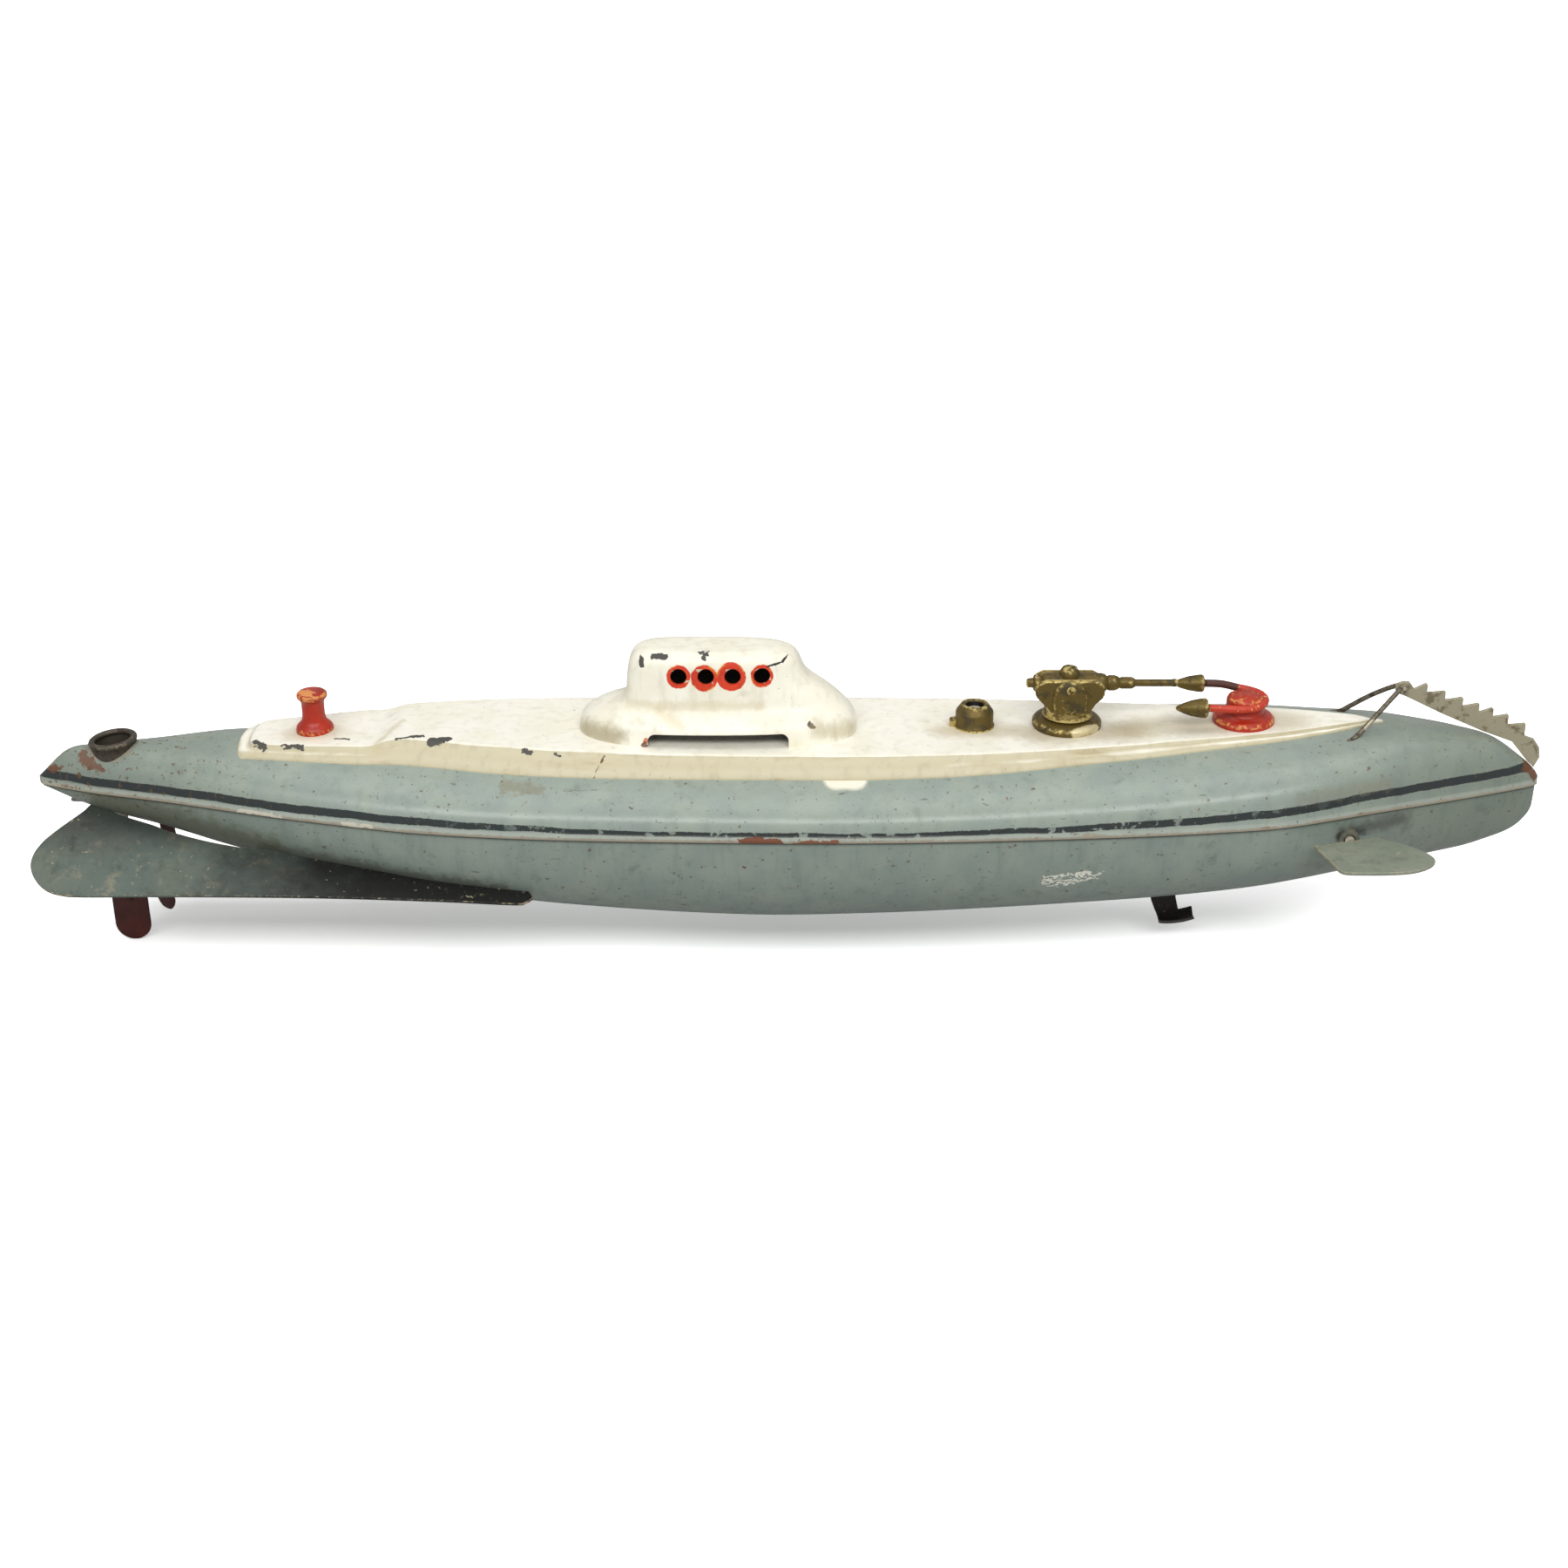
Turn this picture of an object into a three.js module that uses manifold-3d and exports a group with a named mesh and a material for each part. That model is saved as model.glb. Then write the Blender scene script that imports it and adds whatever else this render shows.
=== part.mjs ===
// A clockwork toy submarine of pressed, soldered and painted sheet metal, as its separate pieces.
// Millimetres. +X runs to the bow and +Z up. The origin is on the ground under the middle of the hull.
import * as THREE from "three";
import { mergeVertices } from "three/addons/utils/BufferGeometryUtils.js";
import Module from "manifold-3d";

const wasm = await Module();
wasm.setup();

// Driving dimensions
const STANCE = 39.6; // height of the hull seam over the ground
const HALF_LENGTH = 165;
const SHEET = 0.8; // pressed sheet thickness
const GAP = 0.3; // clearance between pieces that touch
const LAP = SHEET + GAP; // how far the lower shell sits inside the upper one
const RIM = 2.2; // height of the lower shell's rim inside the upper shell
const FLANGE = 3; // upright band of the upper shell above the seam
const LEAST = 0.5; // smallest half section that a shell is closed with
const HULL_STATIONS = 24;
const ARC_STEPS = 12;

// Hull lines as [x, value], heights from the seam
const BEAM = [
  [-165, 0.9], [-164, 1.6], [-160, 3], [-151, 6.1], [-135, 10.3], [-111, 17.5], [-92, 22.4],
  [-77, 25.6], [-51, 28.4], [-6, 30], [17, 30], [40, 29.2], [71, 27.2], [90, 25.2], [105, 22.8],
  [128, 15], [149, 7.8], [162, 2.9], [164, 1.9], [165, 1],
];
const KEEL = [
  [-165, 1], [-153, 5.5], [-138, 9.3], [-119, 14.5], [-88, 19.4], [-73, 22.2], [-49, 25.3],
  [-10, 27.9], [18, 27.5], [41, 26.5], [64, 25.2], [87, 23.7], [102, 22.2], [118, 20.2],
  [148, 15.6], [156, 13.3], [161, 11], [165, 4.5],
];
const CROWN = [
  [-165, 1.5], [-158, 7.8], [-152, 8.9], [-138, 9.9], [-126, 10.9], [-117, 10.9], [-93, 11.6],
  [-49, 11.7], [-6, 11.4], [17, 11.3], [41, 11.9], [62, 12.5], [93, 13.2], [107, 13.7],
  [118, 14.1], [127, 14.5], [131, 14.4], [139, 13.6], [146, 12.6], [154, 10.6], [161, 5.5],
  [165, 1.5],
];
const UPPER_FULLNESS = [[-165, 2], [60, 2.05], [110, 2.6], [140, 2.8], [165, 2.4]];
const LOWER_FULLNESS = 2.3;

// Deck tray: height and half width of its flat top, and the half width of its foot
const DECK_AFT = -117;
const DECK_FORE = 127;
const DECK_TOP = [
  [-117, 11.9], [-93, 13.1], [-89, 13.3], [-84, 14.7], [-65, 14.5], [-30, 13.7], [-6, 13.5],
  [20, 13.5], [41, 13.6], [62, 13.9], [93, 14.6], [107, 15], [122, 15.3], [127, 15.2],
];
const DECK_HALF = [
  [-117, 6.4], [-93, 10], [-84, 9.8], [-65, 12.8], [-49, 14.4], [-30, 15.3], [-6, 15.9],
  [17, 16], [41, 15], [62, 13], [77, 11], [93, 8.8], [107, 6.5], [122, 2.5], [127, 0.6],
];
const DECK_FOOT = [
  [-117, 8.5], [-93, 12.5], [-85, 13], [-75, 14.5], [-64, 16.5], [-49, 18], [-30, 18.8], [-6, 19],
  [17, 19], [41, 18], [62, 15.3], [77, 13.2], [93, 10.3], [107, 7.8], [122, 3.3], [127, 1],
];

// Conning tower rings: height, aft end, fore end, half width
const TOWER = [
  [13, -45.2, 14.7, 12.3], [15.5, -45, 14.6, 12.2], [18.7, -41.5, 13, 11.2],
  [21, -37.5, 10.8, 9.8], [22.6, -34.6, 8.8, 8.7], [24, -33.6, 7.2, 8], [28, -33.2, 4, 7.3],
  [31, -32.2, 1.5, 6.6], [32.2, -30.5, -0.5, 5.9], [32.5, -29, -2, 5],
];
const TOWER_SIDES = 24;
const PORTHOLES = [-23.4, -17.6, -11.9, -5.7];
const PORTHOLE_HEIGHT = 28;
const PORTHOLE_RADIUS = 1.75;
const SLOT = { aft: -30, fore: 0, top: 16.6, corner: 1.8 };

// Places of the fittings along the hull
const RING_X = -147.5;
const RING_TILT = THREE.MathUtils.degToRad(-5);
const RUDDER_X = -149;
const BOLLARD_X = -103.2;
const BUSH_X = 40.4;
const GUN_X = 60.5;
const GUN_AXIS = 23.6;
const ANCHOR_X = 98.9;
const PLANE_X = 120;
const PLANE_Z = -5.2;
const EYE = { x: 132.4, z: 22.4 };

// Shaft line: the propeller's place and the angle at which the shaft rises forward
const PROPELLER = { x: -141.5, z: -21.9, radius: 10 };
const SHAFT_RISE = THREE.MathUtils.degToRad(5);
const SHAFT_RADIUS = 1;

// Clockwork: gear counts at a module of 1 mm
const GREAT_TEETH = 32;
const CROWN_TEETH = 24;
const PINION_TEETH = 8;
const SECOND_X = BUSH_X - (GREAT_TEETH + PINION_TEETH) / 2;
const GREAT_Z = 0;
const TOP_PLATE = 3;
const BASE_PLATE = -17;
const PLATE_AFT = -8;
const PLATE_FORE = 62;
const PLATE_HALF = 14;
const BRAKE_PIVOT = { x: 78, z: -18 };

// Finishes
const finish = (color, roughness, metalness = 0) => ({ color, roughness, metalness });
const HULL_GREY = finish(0x7d8c88, 0.45);
const HULL_PALE = finish(0x93a29c, 0.42);
const DECK_CREAM = finish(0xf0ead6, 0.4);
const DARK_RUBBED = finish(0x57534a, 0.6, 0.4);
const DEEP_RED = finish(0x4a1d18, 0.5);
const SIGNAL_RED = finish(0xc23c28, 0.4);
const OLD_GOLD = finish(0x83743a, 0.45, 0.6);
const BARE_STEEL = finish(0x9c9584, 0.5, 0.7);
const BLACKED_STEEL = finish(0x25211f, 0.5, 0.5);
const BRASS = finish(0xb08d4a, 0.35, 0.9);
const LEAD = finish(0x6d6f73, 0.7, 0.3);

// --- Geometry helpers -----------------------------------------------------------------------

/** A smooth function through [x, value] points. */
function faired(points) {
  const slopes = points.map((_, i) => {
    const [x0, y0] = points[Math.max(i - 1, 0)];
    const [x1, y1] = points[Math.min(i + 1, points.length - 1)];
    return (y1 - y0) / (x1 - x0);
  });
  return (x) => {
    let i = 0;
    while (i < points.length - 2 && x > points[i + 1][0]) i++;
    const [x0, y0] = points[i];
    const [x1, y1] = points[i + 1];
    const span = x1 - x0;
    const t = THREE.MathUtils.clamp((x - x0) / span, 0, 1);
    const late = t * t * (3 - 2 * t);
    const leaving = t * (1 - t) * (1 - t) * span * slopes[i];
    const arriving = t * t * (t - 1) * span * slopes[i + 1];
    return y0 * (1 - late) + y1 * late + leaving + arriving;
  };
}

/** Turns a geometry's faces outwards if they point in. */
function outward(geometry) {
  const { position } = geometry.attributes;
  const index = geometry.index.array;
  const corner = [0, 1, 2].map(() => new THREE.Vector3());
  let volume = 0;
  for (let i = 0; i < index.length; i += 3) {
    corner.forEach((v, k) => v.fromBufferAttribute(position, index[i + k]));
    volume += corner[0].dot(corner[1].cross(corner[2]));
  }
  if (volume < 0) geometry.index.array.reverse();
  return geometry;
}

/** A three.js geometry as a manifold-3d solid. */
function solid(source) {
  const bare = source.clone();
  bare.deleteAttribute("normal");
  bare.deleteAttribute("uv");
  const merged = outward(mergeVertices(bare, 1e-4));
  const vertProperties = new Float32Array(merged.attributes.position.array);
  const triVerts = new Uint32Array(merged.index.array);
  return new wasm.Manifold(new wasm.Mesh({ numProp: 3, vertProperties, triVerts }));
}

/** A manifold-3d solid as a three.js geometry. */
function geometryOf(shape) {
  const { vertProperties, triVerts } = shape.getMesh();
  const geometry = new THREE.BufferGeometry();
  geometry.setAttribute("position", new THREE.BufferAttribute(vertProperties, 3));
  geometry.setIndex(new THREE.BufferAttribute(triVerts, 1));
  geometry.computeVertexNormals();
  return geometry;
}

/** A solid through closed rings of equally many points, capped flat at both ends. */
function skin(rings) {
  const n = rings[0].length;
  const index = [];
  rings.slice(1).forEach((_, r) => {
    for (let i = 0; i < n; i++) {
      const a = r * n + i;
      const b = r * n + ((i + 1) % n);
      index.push(a, b, b + n, a, b + n, a + n);
    }
  });
  const points = rings.flat();
  const last = (rings.length - 1) * n;
  const middle = (ring) => ring.reduce((sum, p) => sum.add(p), new THREE.Vector3()).divideScalar(n);
  points.push(middle(rings[0]), middle(rings.at(-1)));
  for (let i = 0; i < n; i++) {
    const next = (i + 1) % n;
    index.push(next, i, points.length - 2);
    index.push(last + i, last + next, points.length - 1);
  }
  const geometry = new THREE.BufferGeometry().setFromPoints(points);
  geometry.setIndex(index);
  return solid(geometry);
}

/** A turned solid about Z from a profile of [radius, z]. */
function turned(profile, segments = 20) {
  const points = profile.map(([r, z]) => new THREE.Vector2(r, z));
  return solid(new THREE.LatheGeometry(points, segments).rotateX(Math.PI / 2));
}

/** A turned ring about Z: a closed profile that doesn't meet the axis. */
const turnedRing = (profile, segments = 20) => turned([...profile, profile[0]], segments);

/** A round bar between two points. */
function bar(radius, from, to, segments = 14) {
  const a = new THREE.Vector3(...from);
  const b = new THREE.Vector3(...to);
  const along = b.clone().sub(a);
  const geometry = new THREE.CylinderGeometry(radius, radius, along.length(), segments);
  const turn = new THREE.Quaternion().setFromUnitVectors(
    new THREE.Vector3(0, 1, 0),
    along.clone().normalize(),
  );
  geometry.applyQuaternion(turn).translate(...a.add(b).divideScalar(2).toArray());
  return solid(geometry);
}

/** A block between two corners. */
function block(low, high) {
  const size = high.map((v, i) => v - low[i]);
  const middle = high.map((v, i) => (v + low[i]) / 2);
  return solid(new THREE.BoxGeometry(...size).translate(...middle));
}

/** A plate of an [x, y] outline, from z = 0 up. */
function plate(outline, thickness) {
  const shape = outline instanceof THREE.Shape ? outline : new THREE.Shape(pointsOf(outline));
  return solid(
    new THREE.ExtrudeGeometry(shape, { depth: thickness, bevelEnabled: false, curveSegments: 6 }),
  );
}

const pointsOf = (outline) => outline.map(([x, y]) => new THREE.Vector2(x, y));

/** A plate of an [x, z] outline standing in the XZ plane, centred on y = 0. */
function upright(outline, thickness) {
  return plate(outline, thickness).rotate([90, 0, 0]).translate([0, thickness / 2, 0]);
}

/** A round wire along a smooth path. */
function wire(radius, path, steps, sides = 8) {
  const section = new THREE.Shape();
  section.absarc(0, 0, radius, 0, 2 * Math.PI);
  const curve = new THREE.CatmullRomCurve3(path.map((p) => new THREE.Vector3(...p)));
  const settings = { steps, extrudePath: curve, curveSegments: sides / 2, bevelEnabled: false };
  return solid(new THREE.ExtrudeGeometry(section, settings));
}

/** Mirrors a solid to the other side of the centreline. */
const otherSide = (shape) => shape.mirror([0, 1, 0]);

/** Places closer together near both ends. */
function stations(from, to, count) {
  const middle = (from + to) / 2;
  return Array.from({ length: count + 1 }, (_, i) => {
    return middle - ((to - from) / 2) * Math.cos((Math.PI * i) / count);
  });
}

/** One point of a superellipse arc. */
function arcPoint(angle, width, height, fullness) {
  const c = Math.cos(angle);
  const s = Math.sin(angle);
  const y = width * Math.sign(c) * Math.abs(c) ** (2 / fullness);
  return [y, height * Math.abs(s) ** (2 / fullness)];
}

// --- Hull -----------------------------------------------------------------------------------

const halfBeam = faired(BEAM);
const keelDepth = faired(KEEL);
const crownHeight = faired(CROWN);
const upperFullness = faired(UPPER_FULLNESS);

/** Solid inside the upper shell's outer face, moved in by inset (or out, if negative). */
function upperBody(inset, from, to, bottom = 0) {
  const rings = stations(from, to, HULL_STATIONS).map((x) => {
    const half = Math.max(halfBeam(x) - inset, LEAST);
    const crown = Math.max(crownHeight(x) - inset, LEAST);
    const flange = Math.min(FLANGE, 0.4 * crown);
    const ring = [new THREE.Vector3(x, half, bottom)];
    for (let i = 0; i <= ARC_STEPS; i++) {
      const angle = (Math.PI * i) / ARC_STEPS;
      const [y, z] = arcPoint(angle, half, crown - flange, upperFullness(x));
      ring.push(new THREE.Vector3(x, y, flange + z));
    }
    ring.push(new THREE.Vector3(x, -half, bottom));
    return ring;
  });
  return skin(rings);
}

/** Solid inside the lower shell's outer face, moved in by inset. */
function lowerBody(inset, from, to, open = false) {
  const rings = stations(from, to, HULL_STATIONS).map((x) => {
    const beam = halfBeam(x) - LAP;
    const half = Math.max(beam - inset, LEAST);
    const depth = Math.max(keelDepth(x) - inset, LEAST);
    const rim = THREE.MathUtils.clamp(2 * (beam - LAP - GAP), -GAP, RIM) + (open ? 1 : 0);
    const ring = [new THREE.Vector3(x, half, rim)];
    for (let i = 0; i <= ARC_STEPS; i++) {
      const [y, z] = arcPoint((Math.PI * i) / ARC_STEPS, half, depth, LOWER_FULLNESS);
      ring.push(new THREE.Vector3(x, y, Math.min(-z, rim - 0.1)));
    }
    ring.push(new THREE.Vector3(x, -half, rim));
    return ring;
  });
  return skin(rings);
}

/** Places a solid on the shaft line: its own x runs along the shaft. */
const onShaft = (shape) =>
  shape.rotate([0, -THREE.MathUtils.radToDeg(SHAFT_RISE), 0]).translate([PROPELLER.x, 0, PROPELLER.z]);

const shaftHole = onShaft(bar(2.5, [20, 0, 0], [70, 0, 0]));
const hullClearance = upperBody(-GAP, -HALF_LENGTH, HALF_LENGTH, -4);

function lowerShell() {
  const outer = lowerBody(0, -163.8, 164);
  const inner = lowerBody(SHEET, -157, 161, true);
  const rudderHole = bar(2.5, [RUDDER_X, 0, -12], [RUDDER_X, 0, 4]);
  const planeHole = bar(2.5, [PLANE_X, -25, PLANE_Z], [PLANE_X, 25, PLANE_Z]);
  const brakeSlot = block([78.5, -0.9, -27], [89, 0.9, -18]);
  return outer
    .subtract(inner)
    .subtract(rudderHole)
    .subtract(shaftHole)
    .subtract(planeHole)
    .subtract(brakeSlot);
}

function upperShell() {
  const outer = upperBody(0, -HALF_LENGTH, HALF_LENGTH);
  const inner = upperBody(SHEET, -162.5, 163.2, -1);
  const keyHole = bar(2.6, [BUSH_X, 0, 5], [BUSH_X, 0, 16]);
  const ringHole = bar(5.6, [0, 0, -7], [0, 0, 5])
    .rotate([0, THREE.MathUtils.radToDeg(RING_TILT), 0])
    .translate([RING_X, 0, 8]);
  return outer.subtract(inner).subtract(keyHole).subtract(ringHole).subtract(gunRivetHole(8, 14));
}

const gunRivetHole = (low, high) => bar(1.5, [GUN_X, 0, low], [GUN_X, 0, high]);

// --- Deck tray and conning tower --------------------------------------------------------------

const deckTop = faired(DECK_TOP);
const deckHalf = faired(DECK_HALF);
const deckFoot = faired(DECK_FOOT);

/** Solid under the deck tray's outer face, moved out by grow, down to well inside the hull. */
function deckBody(grow, from = DECK_AFT, to = DECK_FORE) {
  const rings = stations(from, to, HULL_STATIONS).map((x) => {
    const top = deckTop(x) + grow;
    const half = Math.max(deckHalf(x) + grow, 0.3);
    const foot = Math.max(deckFoot(x) + grow, 0.6);
    const corner = Math.min(0.5, half / 2);
    const footHeight = crownHeight(x) - 0.13 * foot;
    const side = [[foot, 4], [foot, footHeight], [half + 0.2, top - corner], [half - corner, top]];
    const mirrored = side.map(([y, z]) => [-y, z]).reverse();
    return [...side, ...mirrored].map(([y, z]) => new THREE.Vector3(x, y, z));
  });
  return skin(rings);
}

const deckClearance = deckBody(GAP, DECK_AFT - GAP);

function deckTray() {
  return deckBody(0)
    .subtract(deckBody(-SHEET, DECK_AFT + SHEET, DECK_FORE - 8))
    .subtract(hullClearance)
    .subtract(bar(2.6, [BUSH_X, 0, 5], [BUSH_X, 0, 16]))
    .subtract(gunRivetHole(8, 16));
}

/** Solid inside the tower's outer face, moved in by inset. */
function towerBody(inset, levels) {
  const rings = levels.map(([z, aft, fore, half]) => {
    const length = (fore - aft) / 2 - inset;
    return Array.from({ length: TOWER_SIDES }, (_, i) => {
      const angle = (2 * Math.PI * (i + 0.5)) / TOWER_SIDES;
      const side = Math.sin(angle);
      const [x] = arcPoint(angle, length, 0, 3);
      const y = (half - inset) * Math.sign(side) * Math.abs(side) ** (2 / 3);
      return new THREE.Vector3((aft + fore) / 2 + x, y, z);
    });
  });
  return skin(rings);
}

function tower() {
  const inside = TOWER.map(([z, aft, fore, half]) => [z - SHEET, aft, fore, half]);
  const slot = new THREE.Shape();
  slot.moveTo(SLOT.aft, 10);
  slot.lineTo(SLOT.fore, 10);
  slot.lineTo(SLOT.fore, SLOT.top - SLOT.corner);
  slot.quadraticCurveTo(SLOT.fore, SLOT.top, SLOT.fore - SLOT.corner, SLOT.top);
  slot.lineTo(SLOT.aft + SLOT.corner, SLOT.top);
  slot.quadraticCurveTo(SLOT.aft, SLOT.top, SLOT.aft, SLOT.top - SLOT.corner);
  let shape = towerBody(0, TOWER)
    .subtract(towerBody(SHEET, inside))
    .subtract(deckClearance)
    .subtract(upright(slot, 40));
  PORTHOLES.forEach((x) => {
    const hole = bar(PORTHOLE_RADIUS, [x, -15, PORTHOLE_HEIGHT], [x, 15, PORTHOLE_HEIGHT], 18);
    shape = shape.subtract(hole);
  });
  return shape;
}

// --- Deck fittings ----------------------------------------------------------------------------

/** Trims the underside of a fitting, made about its own place x, to the deck. */
const seated = (shape, x) => shape.subtract(deckClearance.translate([-x, 0, 0]));

function bollard() {
  const profile = [
    [0, 11], [4, 11], [4, 13.2], [3.4, 14.1], [2.6, 15], [2.4, 19.4], [3.2, 20.2], [3.2, 21.3],
    [2.8, 21.6], [0, 21.6],
  ];
  return seated(turned(profile), BOLLARD_X);
}

function windingBush() {
  const profile = [[1.85, 12], [4, 12], [4, 17.7], [3, 18.8], [1.85, 18.8]];
  const lug = block([-5.4, -0.8, 12], [-3.4, 0.8, 15]);
  return seated(turnedRing(profile).add(lug), BUSH_X);
}

function gunBase() {
  const profile = [[1.5, 12], [7.5, 12], [7.5, 15], [6.8, 15.6], [4.9, 16.1], [1.5, 16.1]];
  return seated(turnedRing(profile, 28), GUN_X);
}

/** Pedestal with two cheeks that hold the barrel, about the swivel axis. */
function gunMount() {
  const pedestal = [
    [-4.6, 16.5], [4.6, 16.5], [4.9, 18.8], [6.2, 20.4], [7.4, 21.6], [7.4, 24.2], [5.2, 25.6],
    [-5.2, 25.6], [-7.4, 24.2], [-7.4, 21.8], [-5.6, 20.2], [-4.9, 18.6],
  ];
  const cheek = new THREE.Shape();
  cheek.moveTo(-3.2, 17.6);
  cheek.lineTo(3.2, 17.6);
  cheek.quadraticCurveTo(3.9, 24.6, 2.6, 25.2);
  cheek.lineTo(-2, 25.2);
  cheek.quadraticCurveTo(-4, 24, -3.2, 17.6);
  return upright(pedestal, 7.2)
    .add(upright(cheek, 9.4))
    .subtract(block([-10, -2.5, 19.9], [10, 2.5, 30]))
    .subtract(bar(1.2, [0, -8, GUN_AXIS], [0, 8, GUN_AXIS]))
    .subtract(bar(1.5, [0, 0, 12], [0, 0, 18.9]));
}

/** Barrel along +X about the trunnion. */
function gunBarrel() {
  const profile = [
    [0, -9.1], [1, -9.1], [1.1, -7.6], [1.9, -7.4], [1.9, -5.8], [2.1, -5.6], [2.1, 7.6],
    [1.6, 8.4], [1.6, 10], [1.3, 10.4], [1.3, 13.2], [0.8, 13.8], [0.8, 23.5], [0, 23.5],
  ];
  const boss = turned([[0, 0], [2.2, 0], [2.2, 2.9], [1.6, 3.7], [0, 3.8]], 14);
  return turned(profile, 12)
    .rotate([0, 90, 0])
    .add(boss)
    .subtract(bar(1.2, [0, -5, 0], [0, 5, 0]));
}

function anchorBase() {
  const profile = [
    [0, 12], [6.6, 12], [6.6, 15.6], [5.6, 16.2], [4.3, 16.4], [4.1, 17.9], [2.9, 18.2],
    [2.7, 21.2], [0, 21.6],
  ];
  return seated(turned(profile, 24), ANCHOR_X);
}

/** Arm bent round the post, its legs pointing aft, about the anchor's place. */
function anchorYoke() {
  const radius = 4.5;
  const bend = [-60, 0, 60].map((degrees) => {
    const angle = THREE.MathUtils.degToRad(degrees);
    return [radius * Math.cos(angle), radius * Math.sin(angle), 20.6 + degrees / 100];
  });
  return wire(1.2, [[-8.6, -4.5, 19.6], [-3, -4.6, 19.8], ...bend, [-3, 4.6, 21.3], [-8, 4.5, 21.6]], 16);
}

/** Arrow point of an anchor arm, its tip towards -X. */
function fluke(radius) {
  return turned([[0, 0], [radius, 0], [radius * 0.86, 2.4], [0.3, 6.8], [0, 6.8]], 16).rotate([0, -90, 0]);
}

/** Saw-toothed strip from its eye down to the stem. */
function netCutter() {
  const first = [137.7, 23.5];
  const step = [3.75, -1.55];
  const outline = [[151, 12.4], [133.4, 20.6], [131.2, 21.4], [131.2, 23.6], [133.2, 23.7]];
  for (let i = 0; i < 7; i++) {
    const x = first[0] + i * step[0];
    const z = first[1] + i * step[1];
    outline.push([x, z], [x + 0.3, z - 2.2]);
  }
  outline.push([163.2, 10.2], [165, 7], [162, 3], [156, 8]);
  return upright(outline, SHEET)
    .subtract(bar(0.8, [EYE.x, -3, EYE.z], [EYE.x, 3, EYE.z]))
    .subtract(hullClearance);
}

/** Wire stay from the deck edge up to the cutter's eye. */
function cutterStay() {
  const path = [[120.4, -7.9, 13.4], [122.2, -7, 14.4], [127, -4.4, 18.5], [131.6, -1.5, 22.2]];
  return wire(0.5, path, 8).subtract(hullClearance);
}

// --- Underwater fittings ------------------------------------------------------------------------

/** Rolled ring over the rudder head, about its own tilted axis. */
function sternRing() {
  const profile = [[3.85, -3], [5.1, -3], [5.1, 0.8], [5.3, 1.3], [5, 2.1], [4.3, 2.3], [3.85, 1.7]];
  return turnedRing(profile, 24);
}

function rudderTrunk() {
  return turnedRing([[1.3, -9.2], [2.2, -9.2], [2.2, 3.6], [1.3, 3.6]], 14);
}

/** Blade that hangs below the stock, about the stock's axis. */
function rudderBlade() {
  const outline = new THREE.Shape();
  outline.moveTo(-4, -17);
  outline.lineTo(-4, -35.6);
  outline.absarc(0, -35.6, 4, Math.PI, 2 * Math.PI);
  outline.lineTo(4, -17);
  return upright(outline, SHEET).subtract(bar(SHAFT_RADIUS + GAP, [0, 0, -30], [0, 0, -10]));
}

/** Tail fin sloping down and out, cut to the hull's side. */
function tailFin() {
  const outline = [
    [-51, 3], [-54.8, 0], [-56.2, -1.1], [-58.8, -1.5], [-75.5, -0.6], [-101.7, 0.2], [-133.8, 0.5],
    [-151, 0.5], [-156, 0.9], [-159.4, 2.2], [-162.2, 4.9], [-163.8, 8.2], [-163.8, 11.5],
    [-162.4, 14.8], [-160.2, 17.6], [-157.6, 20.4], [-155.2, 22.7], [-153.9, 24], [-150.5, 23],
    [-147, 21.8], [-139.2, 19.2], [-135.3, 17.5], [-126.4, 14.8], [-116.2, 12.6], [-112, 14],
    [-51, 14],
  ];
  return plate(outline, SHEET)
    .rotate([28, 0, 0])
    .translate([0, -23.7, -16.8])
    .subtract(lowerBody(-GAP, -164.4, 164.4));
}

/** Three-bladed screw about local X. */
function propellerShape() {
  const hub = turned([[0, -1.9], [1.6, -1.9], [2.4, -0.9], [2.4, 1.9], [0, 1.9]], 16).rotate([0, 90, 0]);
  const outline = new THREE.Shape();
  outline.moveTo(-1.2, 1.4);
  outline.bezierCurveTo(-4.6, 4, -4.2, PROPELLER.radius, 0, PROPELLER.radius);
  outline.bezierCurveTo(4.2, PROPELLER.radius, 4.6, 4, 1.2, 1.4);
  const blade = plate(outline, SHEET).translate([0, 0, -SHEET / 2]).rotate([90, 0, 0]);
  let shape = hub;
  for (let i = 0; i < 3; i++) {
    shape = shape.add(blade.rotate([0, 0, 62]).rotate([180 + 120 * i, 0, 0]));
  }
  return shape.subtract(bar(SHAFT_RADIUS + GAP, [-1, 0, 0], [3, 0, 0]));
}

/** Strut with a bearing boss, on the shaft line. */
function sternStrut() {
  const leg = block([2.6, -0.5, 1], [5.6, 0.5, 13]);
  const boss = bar(2.2, [2.4, 0, 0], [6, 0, 0]);
  return onShaft(leg.add(boss).subtract(bar(SHAFT_RADIUS + GAP, [0, 0, 0], [10, 0, 0]))).subtract(
    lowerBody(-GAP, -164.4, 164.4),
  );
}

function sternTube() {
  return turnedRing([[1.3, 28], [2.2, 28], [2.2, 62], [1.3, 62]], 14).rotate([0, 90, 0]);
}

/** Horizontal bow plane on the starboard side, about the cross shaft. */
function bowPlane() {
  const outline = new THREE.Shape();
  outline.moveTo(-8.3, -21.8);
  outline.lineTo(-5.4, -33);
  outline.quadraticCurveTo(-5, -34, -3.8, -34);
  outline.lineTo(11.4, -33.8);
  outline.quadraticCurveTo(15, -33.4, 15.6, -29);
  outline.lineTo(8.6, -16.8);
  return plate(outline, SHEET)
    .translate([0, 0, -SHEET / 2])
    .subtract(bar(SHAFT_RADIUS + GAP, [0, -25.3, 0], [0, 0, 0]));
}

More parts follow.
